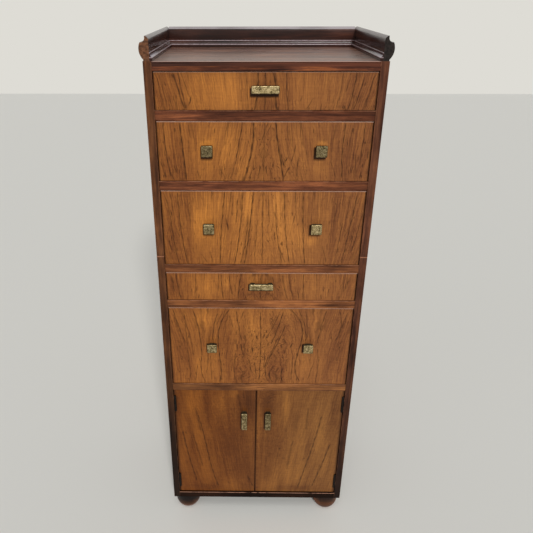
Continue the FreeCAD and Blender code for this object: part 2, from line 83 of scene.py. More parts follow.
class Finish(NodeGraph):
    # the node graph of one material, round one shader

    def __init__(self, name, **constants):
        self.material = bpy.data.materials.new(name)
        self.material.use_nodes = True
        super().__init__(self.material.node_tree)
        self.shader = self.tree.nodes.new("ShaderNodeBsdfPrincipled")
        self.feed(self.tree.nodes.new("ShaderNodeOutputMaterial").inputs[0], self.shader.outputs[0])
        for words, value in constants.items():
            self.shader.inputs[words.replace("_", " ")].default_value = value

    def times(self, first, second):
        return self.maths("MULTIPLY", first, second)

    def awayFrom(self, value, middle):
        return self.maths("ABSOLUTE", self.maths("SUBTRACT", value, middle))

    def swung(self, level, noise, share):
        # the level, raised or lowered by a share of how far the noise is from its middle
        return self.maths("MULTIPLY_ADD", self.maths("SUBTRACT", noise, 0.5), share, level)

    def between(self, value, low, high, lowest=0.0, highest=1.0):
        # low to high becomes lowest to highest, smoothly, and holds at both ends
        return self.add("MapRange", {"Value": value, "From Min": low, "From Max": high, "To Min": lowest,
                                     "To Max": highest}, interpolation_type="SMOOTHSTEP")

    def stretched(self, place, shares):
        return self.vectors("MULTIPLY", place, shares)

    def noise(self, place, scale, detail=2.0, roughness=0.55, output=0):
        return self.add("TexNoise", {"Vector": place, "Scale": scale, "Detail": detail,
                                     "Roughness": roughness}, output)

    def normalPart(self, axis):
        return self.add("SeparateXYZ", {0: self.add("TexCoord", {}, "Normal")}).node.outputs[axis]

    def upward(self, low, high):
        return self.between(self.normalPart(2), low, high)

    def arris(self, slanted=0.8, square=0.95):
        # the narrow slanted faces at the edges of a board, by the largest part of their normal
        normal = self.vectors("ABSOLUTE", self.add("TexCoord", {}, "Normal"))
        x, y, z = self.add("SeparateXYZ", {0: normal}).node.outputs
        largest = self.maths("MAXIMUM", self.maths("MAXIMUM", x, y), z)
        return self.between(largest, slanted, square, 1.0, 0.0)

    def mixed(self, share, first, second, kind="MIX"):
        return self.add("Mix", {0: share, 6: first, 7: second}, 2, data_type="RGBA", blend_type=kind)

    def tinted(self, colour, tint):
        return self.mixed(1.0, colour, tint, "MULTIPLY")

    def laid(self, colour, mask, share, paint):
        # a screen colour laid over the one below it, by a share of the mask
        return self.mixed(self.times(mask, share), colour, linear(paint))

    def leftToRight(self, left, right, reach=0.2):
        # one colour on the left of the tallboy, another on its right, blended as far out as the reach
        x = self.add("SeparateXYZ", {0: self.add("TexCoord", {}, "Object")})
        return self.mixed(self.between(x, -reach, reach), left, right)

    def sideLightTints(self, colour, sides):
        # painted tints of the light: the colour is tinted one way at the left of the tallboy and another way
        # at its right
        return self.tinted(colour, self.leftToRight(*((*side, 1.0) for side in sides)))

    def ramp(self, value, stops):
        made = self.tree.nodes.new("ShaderNodeValToRGB")
        elements = made.color_ramp.elements
        for place, colour in stops[1:-1]:
            elements.new(place)
        for element, (place, colour) in zip(elements, stops):
            element.position = place
            element.color = linear(colour)
        self.feed(made.inputs[0], value)
        return made.outputs[0]

    def finished(self, colour, roughness, height, relief):
        self.feed(self.shader.inputs["Base Color"], colour)
        self.feed(self.shader.inputs["Roughness"], roughness)
        self.feed(self.shader.inputs["Normal"], self.add("Bump", {"Height": height, "Distance": relief}))
        return self.material


def woodFinish(name, look):
    # polished wood on object coordinates: broad figure, streaks along the grain, fibre and pores
    finish = Finish(name + "_finish", Coat_Weight=look["coat"], Coat_Roughness=look["coatRoughness"],
                    Specular_IOR_Level=look["specular"])
    place = finish.add("TexCoord", {}, "Object")
    x, y, z = finish.add("SeparateXYZ", {0: place}).node.outputs
    bend = finish.noise(finish.stretched(place, look["grain"]), look["bendScale"], 1.0, output=1)
    bent = finish.vectors("MULTIPLY_ADD", bend, (look["bendReach"],) * 3, place)
    along = finish.stretched(bent, look["grain"])
    narrow = finish.stretched(along, look["grain"])
    broad = finish.noise(along, look["broadScale"], 3.0, 0.6)
    streak = finish.noise(narrow, look["streakScale"], 3.0, 0.6)
    fibre = finish.noise(narrow, look["fibreScale"], 3.0, 0.65)
    patina = finish.noise(place, look["patinaScale"], 3.0, 0.6)
    pores = finish.between(finish.noise(along, look["poreScale"], 1.0, 0.4), *look["poreRange"])
    tone = 0.5
    for part, share in ((broad, "broadShare"), (streak, "streakShare"), (fibre, "fibreShare")):
        tone = finish.swung(tone, part, look[share])
    colour = finish.ramp(tone, list(zip(look["toneStops"], (look["dark"], look["middle"], look["light"]))))
    colour = finish.tinted(colour, finish.between(patina, *look["patinaRange"], *look["patinaShade"]))
    lines = finish.between(streak, *look["lineRange"])
    colour = finish.laid(colour, lines, look["lineShare"], look["line"])
    colour = finish.laid(colour, pores, look["poreShare"], look["line"])
    if "paintedLightByHeight" in look:
        # painted shade and light by height: darker or warmer from one height down to another, higher up on
        # the left where it leans;
        # it darkens the stiles towards the floor (partly darker wood), lights the feet low at the front and
        # lightens the lower rails
        low, high, lowTint, lean, wander = look["paintedLightByHeight"]
        reached = finish.maths("MULTIPLY_ADD", patina, wander, z)
        reached = finish.maths("MULTIPLY_ADD", x, lean, reached)
        colour = finish.mixed(finish.between(reached, low, high, 1.0, 0.0), colour,
                              finish.tinted(colour, (*lowTint, 1.0)))
    if "front" in look:
        # faces turned to the front have their own colour, blended from left to right, and less gloss; on the
        # gallery sides this paints the front ends lit on the left and in shade on the right
        own = finish.leftToRight(*(linear(end) for end in look["front"]))
        own = finish.tinted(own, finish.between(streak, *look["frontRange"], *look["frontShade"]))
        facing = finish.between(finish.normalPart(1), *look["frontTurn"], 1.0, 0.0)
        colour = finish.mixed(facing, colour, own)
        for socketName, frontValue in (("Coat Weight", 0.0), ("Specular IOR Level", look["frontSpecular"])):
            socket = finish.shader.inputs[socketName]
            finish.feed(socket, finish.between(facing, 0.0, 1.0, socket.default_value, frontValue))
    if "sides" in look:
        # painted tints of the light at left and right
        colour = finish.sideLightTints(colour, look["sides"])
    # pale slanted arrises: partly wear, partly a painted highlight where upper edges catch the light
    if look["wearAndSheenShare"]:
        broken = finish.between(finish.noise(place, look["wearAndSheenScale"], 3.0, 0.7), *look["wearAndSheenRange"])
        wearAndSheen = finish.times(finish.arris(), broken)
        if look["sheenOnUpperFaces"]:
            wearAndSheen = finish.times(wearAndSheen, finish.upward(0.2, 0.5))
        colour = finish.laid(colour, wearAndSheen, look["wearAndSheenShare"], look["wearAndSheen"])
    if "patch" in look:
        # painted reflection: upper faces at the front end are laid paler, fading towards the back
        back, front, patchColour, share = look["patch"]
        wearAndSheen = finish.times(finish.between(y, front, back, 1.0, 0.0), finish.upward(0.15, 0.5))
        colour = finish.laid(colour, wearAndSheen, share, patchColour)
    if "topSheen" in look:
        # painted highlight: upper faces near the top are laid pale lilac, broken up by the patina
        low, high, topSheenColour, share = look["topSheen"]
        topSheenMask = finish.times(finish.between(z, low, high), finish.upward(0.2, 0.6))
        topSheenMask = finish.times(topSheenMask, finish.between(patina, 0.2, 0.6, 0.6, 1.0))
        colour = finish.laid(colour, topSheenMask, share, topSheenColour)
    for middle, halfWidth, share in look["paleLines"]:
        # a pale line across the piece at one height, broken up by noise; on the inner moulding these are
        # painted highlights along its two ridges
        paleShare = finish.between(finish.awayFrom(z, middle), halfWidth * 0.4, halfWidth, 1.0, 0.0)
        broken = finish.between(finish.noise(place, look["paleLineScale"]), 0.3, 0.6, 0.6, 1.0)
        colour = finish.laid(colour, finish.times(paleShare, broken), share, look["wearAndSheen"])
    roughness = finish.between(finish.maths("MULTIPLY_ADD", fibre, 0.4, patina), 0.4, 1.0,
                               look["glossy"], look["dull"])
    height = finish.maths("SUBTRACT", finish.times(fibre, 0.5), pores)
    return finish.finished(colour, roughness, height, look["relief"])


# the pattern is drawn out along the grain, where its coordinates shrink
uprightGrain = (1.0, 1.0, 0.16)
levelGrain = (0.16, 1.0, 1.0)
deepGrain = (1.0, 0.16, 1.0)

polishedLook = {
    "grain": levelGrain, "bendScale": 9.0, "bendReach": 0.02, "broadScale": 40.0, "broadShare": 1.0,
    "streakScale": 150.0, "streakShare": 0.7, "fibreScale": 700.0, "fibreShare": 0.5, "dark": (44, 21, 13),
    "middle": (90, 49, 31), "light": (134, 80, 48), "toneStops": (0.2, 0.5, 0.8), "line": (24, 12, 8),
    "lineRange": (0.58, 0.72), "lineShare": 0.5, "poreScale": 800.0, "poreRange": (0.60, 0.72),
    "poreShare": 0.3, "patinaScale": 9.0, "patinaRange": (0.3, 0.75), "patinaShade": (0.72, 1.15),
    "frontTurn": (-0.85, -0.7), "frontRange": (0.35, 0.68), "frontShade": (1.35, 0.5), "frontSpecular": 0.15,
    "glossy": 0.3, "dull": 0.5, "coat": 0.0, "coatRoughness": 0.2, "specular": 0.12, "relief": 0.00006,
    "wearAndSheen": (196, 158, 146), "wearAndSheenScale": 45.0, "wearAndSheenShare": 0.6, "wearAndSheenRange": (0.35, 0.65),
    "sheenOnUpperFaces": True, "paleLineScale": 160.0, "paleLines": [],
}
rawLook = dict(
    polishedLook, dark=(140, 104, 66), middle=(176, 138, 92), light=(204, 168, 120), line=(104, 72, 44),
    lineShare=0.3, glossy=0.55, dull=0.75, wearAndSheenShare=0.0, relief=0.0001, specular=0.3, broadShare=0.8)
railLook = dict(
    polishedLook, fibreShare=0.8, dark=(50, 24, 15), middle=(100, 55, 36), light=(150, 88, 54),
    wearAndSheen=(190, 138, 104))
trimLook = dict(
    polishedLook, dark=(28, 13, 10), middle=(54, 27, 20), light=(84, 46, 33), specular=0.22, glossy=0.17,
    dull=0.27, relief=0.00002, wearAndSheenShare=0.0)

# paintedLightByHeight, painted shade and light by height: heights from and to, tint at the lower one, lean to
# the left, wander with the patina; sides: painted tints of the light at left and right;
# front: colours at left and right of faces turned to the front; topSheen, a painted highlight: heights from
# and to, colour, share; patch, a painted reflection:
# depths from and to, colour, share; paleLines: height, half width, share; all in metres
woodLooks = {
    "side_veneer": dict(
        polishedLook, grain=uprightGrain, broadScale=26.0, dark=(50, 27, 17), middle=(88, 52, 33),
        light=(118, 74, 46), specular=0.3, coat=0.15, wearAndSheenShare=0.3),
    # stiles: painted shade darkens them towards the floor, more on the left, partly darker wood; painted
    # tints of the light from left to right
    "stile": dict(
        polishedLook, grain=uprightGrain, dark=(50, 26, 16), middle=(104, 62, 38), light=(150, 94, 56),
        wearAndSheen=(186, 128, 96), wearAndSheenShare=0.35, sheenOnUpperFaces=False, paleLines=[(0.901, 0.0018, 0.55)],
        paintedLightByHeight=(0.10, 1.05, (0.10, 0.105, 0.12), 0.4, 0.1), sides=((1.1, 1.15, 1.1), (0.8, 0.8, 1.0))),
    # rails: painted lighter lower down; their pale top arrises are partly wear, partly a painted highlight
    "rail": dict(railLook, paintedLightByHeight=(0.7, 1.25, (1.6, 1.85, 1.45), 0.0, 0.1)),
    "lowest_rail": dict(railLook, paintedLightByHeight=(0.7, 1.25, (1.23, 1.5, 1.18), 0.0, 0.1)),
    # back rail: its pale top edge is a painted highlight
    "dark_trim": dict(trimLook, topSheen=(1.396, 1.402, (178, 170, 172), 0.9)),
    # inner moulding: a painted reflection on its ledges at the front ends and two painted highlight lines
    # along its ridges
    "foot_moulding": dict(
        trimLook, wearAndSheen=(188, 168, 172), patch=(-0.04, -0.15, (176, 168, 178), 0.9),
        paleLines=[(1.3724, 0.0011, 0.8), (1.3632, 0.0012, 0.75)]),
    # gallery sides: the front colours paint the left end lit and the right end in shade, and their pale upper
    # faces are a painted highlight
    "gallery_side": dict(
        trimLook, grain=deepGrain, dark=(22, 11, 9), middle=(44, 22, 17), light=(76, 42, 30), specular=0.25,
        topSheen=(1.390, 1.402, (150, 140, 144), 0.5), front=((104, 68, 46), (40, 34, 31))),
    "top_front": dict(
        polishedLook, dark=(38, 19, 15), middle=(92, 50, 35), light=(152, 86, 46), broadScale=60.0,
        streakShare=0.9, fibreShare=0.9, wearAndSheen=(176, 134, 112), wearAndSheenRange=(0.2, 0.5)),
    # base: its pale top arris is a painted highlight
    "base": dict(
        polishedLook, dark=(14, 7, 4), middle=(26, 13, 7), light=(44, 24, 14), wearAndSheen=(216, 160, 130),
        specular=0.05, wearAndSheenShare=0.75, wearAndSheenRange=(0.3, 0.55)),
    "top_veneer": dict(
        polishedLook, broadScale=26.0, streakScale=230.0, dark=(62, 36, 28), middle=(120, 80, 62),
        light=(176, 126, 100), specular=0.5, coat=0.35, coatRoughness=0.22, glossy=0.26, dull=0.42,
        lineShare=0.8, streakShare=1.3, broadShare=1.1, front=((62, 34, 25), (92, 50, 34)),
        wearAndSheen=(196, 160, 144), wearAndSheenShare=0.9, wearAndSheenRange=(0.15, 0.45)),
    # drawer fronts: their pale upper arrises are mostly a painted highlight
    "drawer_veneer": dict(
        polishedLook, grain=uprightGrain, dark=(60, 34, 20), middle=(105, 66, 38), light=(140, 92, 52),
        wearAndSheenShare=0.95, wearAndSheenRange=(0.2, 0.5), wearAndSheen=(208, 170, 150)),
    "door_veneer": dict(
        polishedLook, grain=uprightGrain, dark=(56, 30, 18), middle=(96, 56, 32), light=(128, 80, 44),
        wearAndSheen=(170, 120, 96), wearAndSheenShare=0.5),
    "inner_wood": dict(rawLook, grain=deepGrain),
    "plywood": dict(
        rawLook, patinaScale=5.0, patinaShade=(0.86, 1.08), grain=(1.0, 0.2, 0.2), dark=(128, 92, 60),
        middle=(160, 122, 82), light=(186, 150, 106)),
    # feet: painted light on the lower front, the upper part left dark as in shade
    "turned_feet": dict(
        polishedLook, dark=(14, 9, 8), middle=(26, 17, 14), light=(44, 28, 21), wearAndSheenShare=0.0, specular=0.15,
        paintedLightByHeight=(0.026, 0.060, (11.5, 7.4, 3.7), -0.03, 0.015)),
}
# boards whose finish isn't that of their CAD slot
nodeFinishes = {"gallery_left": "gallery_side", "gallery_right": "gallery_side", "top_rail": "top_front",
                "base_board": "base", "left_stile_lipping": "stile", "right_stile_lipping": "stile",
                "rail_1": "rail", "rail_2": "rail", "rail_3": "rail", "rail_4": "rail",
                "rail_5": "lowest_rail"}
finishes = {slotName: woodFinish(slotName, look) for slotName, look in woodLooks.items()}

steelLook = {"dark": (20, 16, 14), "middle": (36, 29, 25), "rust": (74, 48, 34), "spotScale": 260.0,
             "broadScale": 60.0, "metal": 0.85, "roughness": (0.35, 0.6), "relief": 0.0001}


def steelFinish(look):
    # browned steel with a little rust and polish where hands reach it
    finish = Finish("dark_steel_finish", Metallic=look["metal"])
    place = finish.add("TexCoord", {}, "Object")
    spots = finish.noise(place, look["spotScale"], 4.0, 0.65)
    broad = finish.noise(place, look["broadScale"])
    colour = finish.ramp(finish.maths("MULTIPLY_ADD", broad, 0.5, finish.times(spots, 0.5)),
                         [(0.3, look["dark"]), (0.55, look["middle"]), (0.75, look["rust"])])
    return finish.finished(colour, finish.between(spots, 0.3, 0.7, *look["roughness"]), spots, look["relief"])


brassLook = {"hollow": (66, 54, 30), "green": (158, 138, 94), "clear": (214, 192, 146), "patinaAndShadeColour": (34, 27, 18),
             "patinaAndShadeShare": 0.88, "broadScale": 150.0, "broadShare": 1.0, "grainScale": 620.0,
             "grainShare": 1.25, "metal": 0.75, "specular": 0.3, "roughness": (0.55, 0.36),
             "paleShareTint": (0.22, 0.95), "relief": 0.0004}


def brassFinish(look):
    # old cast brass: rubbed clear on the face, brown and greenish in the hollows; the dark round the sides
    # and top is partly patina, partly painted shade
    finish = Finish("antique_brass_finish", Metallic=look["metal"], Specular_IOR_Level=look["specular"])
    place = finish.add("TexCoord", {}, "Object")
    broad = finish.noise(place, look["broadScale"], 3.0, 0.6)
    grains = finish.noise(place, look["grainScale"], 3.0, 0.65)
    tone = finish.swung(finish.swung(0.5, broad, look["broadShare"]), grains, look["grainShare"])
    colour = finish.ramp(tone, [(0.25, look["hollow"]), (0.5, look["green"]), (0.72, look["clear"])])
    # patina and painted shade on the faces not turned to the front
    sidePatinaAndShade = finish.between(finish.maths("MULTIPLY_ADD", grains, 0.3, finish.normalPart(1)), -0.72, -0.3)
    paleShare = finish.add("Attribute", {}, "Fac", attribute_name="paleShare")
    # each pull's colour is made lighter or darker as a whole by its own share
    colour = finish.tinted(colour, finish.between(paleShare, 0.0, 1.0, *look["paleShareTint"]))
    colour = finish.laid(colour, sidePatinaAndShade, look["patinaAndShadeShare"], look["patinaAndShadeColour"])
    rough = finish.maths("MULTIPLY_ADD", sidePatinaAndShade, 0.3, finish.between(grains, 0.3, 0.7, *look["roughness"]))
    return finish.finished(colour, rough, grains, look["relief"])


finishes["dark_steel"] = steelFinish(steelLook)
finishes["antique_brass"] = brassFinish(brassLook)
for name, cadNode in nodes.items():
    for materialSlot in cadNode.material_slots:
        slotName = materialSlot.material.name.split(".")[0]
        materialSlot.material = finishes[nodeFinishes.get(name, slotName)]
print("finishes:", len(finishes))


def linkedMesh(name, points, faces, material):
    # points in metres, faces as lists of point numbers
    mesh = bpy.data.meshes.new(name)
    mesh.from_pydata(points.tolist(), [], faces)
    mesh.materials.append(material)
    piece = bpy.data.objects.new(name, mesh)
    scene.collection.objects.link(piece)
    return piece


def meshPiece(name, points, faces, material, body):
    # a piece that moves with its body
    piece = linkedMesh(name, points, faces, material)
    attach(piece, body)
    return piece


def cornersOf(node):
    # the lowest and highest corner of a CAD node's box, in millimetres
    return (np.array(corner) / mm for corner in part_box(node))


def gridFaces(index):
    # four-sided faces between neighbouring rows and columns of a grid of point numbers
    return np.stack([index[:-1, :-1], index[:-1, 1:], index[1:, 1:], index[1:, :-1]], -1).reshape(-1, 4)


def closedTube(rings):
    # rings of points one behind the other, joined all round, with a flat face across each end
    index = np.arange(rings.shape[0] * rings.shape[1]).reshape(rings.shape[:2])
    sides = gridFaces(np.hstack([index, index[:, :1]]))
    return rings.reshape(-1, 3), [*sides.tolist(), index[0][::-1].tolist(), index[-1].tolist()]


def joinedShells(shells):
    # closed shells as one mesh: each shell's point numbers move up by the points before it
    points, faces, start = [], [], 0
    for shellPoints, shellFaces in shells:
        points.append(shellPoints)
        faces += [[int(i) + start for i in face] for face in shellFaces]
        start += len(shellPoints)
    return np.concatenate(points), faces


# each face: its CAD board, where its grain is mirrored, how far the painted shadow in the gaps at its left
# and right edges reaches, how pale its top edge is (a painted highlight on the top arris, partly wear), the
# flow of its grain (x at the top, in the middle and at the bottom), dark strokes (strength, half width, then
# points of x and height), tones (change, x, height, reach in x, reach in height), dashes and swirls (both the
# same); lengths in millimetres
veneerFaces = {
    "drawer_1": {
        "board": "drawer_1_front", "joint": 0.0, "edges": (1.7, 1.7), "pale": 0.6, "seed": 0.0,
        "flow": [
            (-262, -252, -243), (-193, -184, -176), (-41, -39, -37), (-17, -18, -23), (0, 0, 0), (15, 22, 27),
            (45, 48, 52), (193, 189, 181), (268, 254, 238)],
        "strokes": [
            (.35, .8, (-227, 1330), (-219, 1290), (-214, 1256)),
            (.8, 1.2, (-198, 1333), (-185, 1288), (-176, 1256)),
            (.55, .9, (-187, 1334), (-182, 1303), (-172, 1256)),
            (.45, .8, (-181, 1335), (-172, 1305), (-166, 1286)),
            (.8, .9, (-160, 1285), (-162, 1276), (-167, 1264)), (.35, .7, (-168, 1334), (-163, 1306)),
            (.35, .7, (-41, 1334), (-39, 1295), (-37, 1254)),
            (.9, 1.2, (-17, 1335), (-16, 1300), (-23, 1254)), (.55, .7, (0, 1335), (0, 1254)),
            (1., 1.4, (15, 1335), (22, 1311), (23, 1284), (26, 1254)), (.6, .8, (19, 1335), (24, 1314)),
            (.45, .8, (45, 1334), (46, 1298), (52, 1254)), (.3, .8, (165, 1334), (163, 1300), (154, 1258)),
            (.6, .9, (194, 1334), (190, 1300), (181, 1254)), (.55, .8, (211, 1326), (203, 1290), (193, 1256)),
            (.45, .8, (232, 1328), (224, 1290), (217, 1257)), (.5, .7, (80, 1284), (76, 1274)),
            (.45, .7, (104, 1280), (96, 1266), (90, 1257)), (.4, .7, (222, 1284), (215, 1264)),
            (.4, .7, (178, 1318), (174, 1292)), (.35, .7, (-208, 1276), (-201, 1257))],
        "tones": [
            (.35, -115, 1296, 60, 60), (.25, -60, 1290, 30, 60), (.12, 105, 1300, 60, 60),
            (-.1, -225, 1296, 30, 70), (-.12, 215, 1290, 40, 60), (-.2, 18, 1262, 30, 14)],
        "dashes": [
            (.6, -200, 1296, 45, 90), (.6, 205, 1290, 50, 80), (1.6, 185, 1255, 110, 9),
            (1.2, -215, 1255, 70, 7), (.5, 5, 1290, 40, 60)],
        "swirls": [],
    },
    "drawer_2": {
        "board": "drawer_2_front", "joint": 0.0, "edges": (1.7, 1.7), "pale": 0.8, "seed": 1.3,
        "flow": [
            (-255, -250, -245), (-189, -184, -179), (-110, -118, -126), (-48, -60, -75), (-25, -30, -45),
            (0, 0, 0), (25, 34, 47), (52, 62, 78), (115, 122, 128), (180, 178, 181), (262, 252, 240)],
        "strokes": [
            (.6, .9, (-225, 1230), (-222, 1160), (-214, 1104)),
            (.95, 1.3, (-189, 1230), (-185, 1180), (-179, 1096)),
            (.55, .9, (-48, 1229), (-57, 1180), (-63, 1146)),
            (1., 1.5, (-25, 1229), (-27, 1172), (-36, 1128), (-45, 1094)),
            (1., 1.5, (25, 1229), (30, 1187), (37, 1150), (46, 1094)), (.9, 1.3, (38, 1158), (47, 1128)),
            (.8, 1.1, (60, 1128), (52, 1114), (47, 1102)), (.6, 1., (54, 1150), (46, 1136)),
            (.6, .9, (180, 1228), (177, 1180), (181, 1101)), (.55, .8, (223, 1228), (219, 1133)),
            (.35, .8, (50, 1224), (54, 1187)), (.45, .8, (72, 1182), (66, 1152), (62, 1138)),
            (.5, .8, (78, 1152), (76, 1104)), (.4, .7, (-75, 1182), (-79, 1150)),
            (.4, .7, (-66, 1140), (-75, 1096)), (.4, .7, (-96, 1132), (-98, 1100)),
            (.45, .8, (-236, 1140), (-226, 1102)), (.5, .8, (-217, 1118), (-206, 1095)),
            (.45, .7, (-100, 1125), (-88, 1098)), (.4, .7, (152, 1142), (168, 1100)),
            (.35, .7, (-170, 1226), (-165, 1195)), (.4, .8, (0, 1229), (0, 1095)),
            (.4, .7, (8, 1228), (-2, 1200), (-8, 1180)), (.4, .7, (16, 1226), (2, 1196)),
            (.35, .7, (195, 1218), (190, 1160)), (.4, .7, (206, 1160), (212, 1110)),
            (.4, .7, (-152, 1120), (-148, 1096)), (.45, .7, (-23, 1128), (-33, 1100)),
            (.4, .7, (-8, 1130), (-12, 1098)), (.4, .7, (14, 1126), (22, 1098))],
        "tones": [
            # the two strong small tones at x -130 and 130 mm, height 1182 mm, are painted light: the glow
            # just above the knobs
            (.3, -135, 1160, 40, 60), (.35, -80, 1180, 35, 50), (1., -130, 1182, 10, 6),
            (1., 130, 1182, 10, 6), (.25, 125, 1130, 30, 25), (-.3, -195, 1120, 30, 60),
            (-.25, 190, 1130, 36, 60), (.15, 75, 1190, 26, 40), (-.1, 10, 1170, 22, 60),
            (.2, -45, 1120, 18, 30), (.15, 0, 1160, 60, 90), (.15, -230, 1180, 16, 60)],
        "dashes": [
            (.9, -10, 1150, 60, 90), (.7, -200, 1140, 50, 80), (.8, 205, 1150, 50, 80),
            (.6, -75, 1110, 60, 25)],
        "swirls": [(.3, 0, 1180, 24, 40), (.35, 60, 1120, 30, 26)],
    },
    "drawer_3": {
        "board": "drawer_3_front", "joint": 0.0, "edges": (1.7, 1.7), "pale": 0.6, "seed": 2.9,
        "flow": [
            (-268, -250, -236), (-202, -194, -184), (-140, -144, -148), (-90, -97, -103), (-47, -54, -68),
            (-23, -32, -43), (0, 0, 1), (23, 32, 44), (51, 56, 69), (94, 97, 107), (148, 150, 152),
            (207, 200, 186), (272, 256, 240)],
        "strokes": [
            (.6, .9, (-90, 1068), (-97, 1000), (-103, 880)),
            (.65, .9, (-47, 1068), (-51, 1010), (-57, 945), (-68, 879)),
            (.5, 1.2, (-23, 1068), (-31, 975), (-43, 880)), (.65, .7, (0, 1068), (1, 880)),
            (.65, .9, (51, 1068), (54, 990), (62, 920), (69, 880)),
            (.55, .9, (94, 1068), (97, 990), (107, 880)),
            (.45, .8, (-232, 1062), (-222, 1010), (-215, 935), (-206, 880)),
            (.6, .8, (-202, 1066), (-198, 990), (-192, 928), (-184, 880)),
            (.4, .8, (-218, 1064), (-212, 1010)), (.5, .8, (221, 1064), (208, 960), (198, 882)),
            (.4, .7, (206, 1064), (200, 1000)), (.45, .7, (238, 1020), (226, 940)),
            (.5, .7, (192, 990), (184, 910)), (.45, .9, (-34, 1010), (-41, 940), (-52, 882)),
            (.45, .8, (12, 1060), (16, 990)), (.5, .8, (31, 1040), (36, 960), (50, 885)),
            (.6, 1., (27, 1018), (29, 1006)), (.5, .9, (40, 930), (58, 884)),
            (.6, 1.1, (-88, 1002), (-82, 970)), (.4, .8, (-128, 915), (-122, 882)),
            (.45, .7, (-148, 905), (-134, 882)), (.5, .8, (-60, 1050), (-63, 990)),
            (.4, .7, (-70, 1060), (-74, 1010)), (.45, .7, (80, 1020), (72, 985)),
            (.4, .7, (148, 930), (160, 885)), (.4, .7, (-12, 1000), (-18, 900)),
            (.7, 1.1, (-217, 1010), (-216, 1006))],
        "tones": [
            (.45, -148, 985, 34, 50), (.25, -115, 1040, 26, 40), (.2, 75, 960, 26, 60),
            (.4, 120, 942, 16, 12), (.3, -36, 1040, 12, 40), (-.25, -30, 950, 16, 60),
            (-.15, 20, 940, 26, 60), (.45, 0, 970, 140, 120), (-.25, -178, 940, 10, 140),
            (-.25, -215, 960, 24, 90), (-.2, 215, 980, 30, 80), (-.25, 170, 970, 8, 140),
            (-.15, 100, 1010, 30, 40), (.3, 38, 1040, 12, 40), (-.3, -85, 985, 12, 34),
            (.25, 45, 965, 10, 30)],
        "dashes": [
            (.7, -210, 960, 40, 110), (.8, 210, 960, 40, 110), (.7, 0, 960, 62, 110), (.3, 90, 990, 30, 80)],
        "swirls": [(.2, 20, 960, 30, 50)],
    },
    "drawer_4": {
        "board": "drawer_4_front", "joint": -1.5, "edges": (1.7, 1.7), "pale": 0.5, "seed": 4.1,
        "flow": [
            (-256, -250, -244), (-170, -172, -174), (-104, -104, -103), (-60, -62, -65), (-30, -32, -34),
            (0, 0, 0), (30, 34, 38), (62, 66, 76), (106, 108, 110), (172, 172, 172), (254, 250, 244)],
        "strokes": [
            (.5, .8, (-215, 850), (-212, 815), (-206, 780)), (.45, .8, (-228, 846), (-222, 800)),
            (.4, .8, (-166, 852), (-168, 778)), (.5, .8, (-102, 850), (-100, 812), (-97, 780)),
            (.45, .7, (-108, 852), (-109, 800)), (.5, .8, (-80, 850), (-78, 815), (-71, 790)),
            (.65, 1., (-50, 852), (-56, 815), (-58, 778)), (.4, .8, (-14, 851), (-21, 828)),
            (.6, .7, (-1, 853), (-1, 777)), (.45, .8, (52, 850), (58, 815), (68, 780)),
            (.5, .8, (70, 852), (74, 815), (84, 782)), (.55, .7, (106, 853), (108, 777)),
            (.45, .7, (26, 846), (36, 812)), (.5, .8, (20, 797), (34, 780)),
            (.45, .7, (206, 848), (210, 800)), (.4, .7, (216, 846), (214, 806)),
            (.45, .7, (-46, 800), (-38, 780)), (.6, 1., (-76, 800), (-74, 793)),
            (.4, .7, (92, 812), (98, 780)), (.4, .7, (-70, 826), (-64, 800))],
        "tones": [
            (.4, -140, 815, 34, 40), (-.25, -48, 815, 12, 60), (.35, -24, 836, 14, 14),
            (.15, 60, 815, 120, 60), (-.3, -10, 790, 40, 14), (-.25, 40, 810, 26, 40),
            (.12, 140, 815, 40, 40), (-.2, -220, 815, 24, 50), (-.2, 90, 800, 14, 40), (.3, -82, 830, 16, 24),
            (.25, 62, 830, 8, 26)],
        "dashes": [
            (.8, 0, 800, 76, 50), (.6, -210, 815, 40, 60), (.7, 205, 815, 44, 60), (.5, -95, 800, 30, 40)],
        "swirls": [(.25, 10, 800, 40, 30)],
    },
    "drawer_5": {
        "board": "drawer_5_front", "joint": 0.0, "edges": (1.7, 1.7), "pale": 0.35, "seed": 5.7,
        "flow": [
            (-270, -250, -244), (-226, -196, -188), (-177, -160, -158), (-85, -110, -111), (-58, -72, -78),
            (-26, -30, -34), (0, 0, 0), (26, 30, 34), (58, 74, 80), (80, 111, 113), (172, 153, 150),
            (222, 196, 186), (270, 250, 244)],
        "strokes": [
            (.65, .9, (-229, 746), (-215, 690), (-200, 641)), (.6, .9, (-177, 746), (-163, 680), (-158, 600)),
            (.5, .8, (-158, 600), (-161, 560), (-150, 510)),
            (.8, 1.1, (-82, 746), (-104, 706), (-111, 620), (-110, 510)),
            (.5, .8, (-112, 735), (-124, 690), (-126, 650)), (.4, .8, (-98, 740), (-116, 700)),
            (.8, 1., (-1, 740), (2, 640), (-1, 512)), (.8, 1.1, (76, 749), (99, 722), (112, 660), (112, 516)),
            (.55, .8, (98, 748), (112, 715), (122, 650)), (.45, .7, (118, 744), (124, 690), (126, 660)),
            (.65, .9, (172, 744), (160, 690), (154, 642)), (.5, .8, (206, 742), (212, 690), (200, 650)),
            (.4, .7, (228, 742), (216, 700), (210, 660)), (.4, .8, (-200, 744), (-196, 640), (-190, 520)),
            (.55, .9, (-64, 742), (-58, 700), (-50, 650)), (.5, .8, (-44, 742), (-52, 716)),
            (.7, 1., (60, 742), (46, 690), (30, 640)), (.5, .8, (48, 735), (36, 700), (14, 655)),
            (.6, .9, (66, 700), (46, 640), (24, 590)), (.5, .8, (50, 665), (34, 620), (20, 570)),
            (.9, 1.6, (13, 672), (7, 656)), (.9, 1.6, (-11, 668), (-6, 652)),
            (.95, 1.5, (24, 646), (21, 634)), (.9, 1.5, (-21, 630), (-19, 610)),
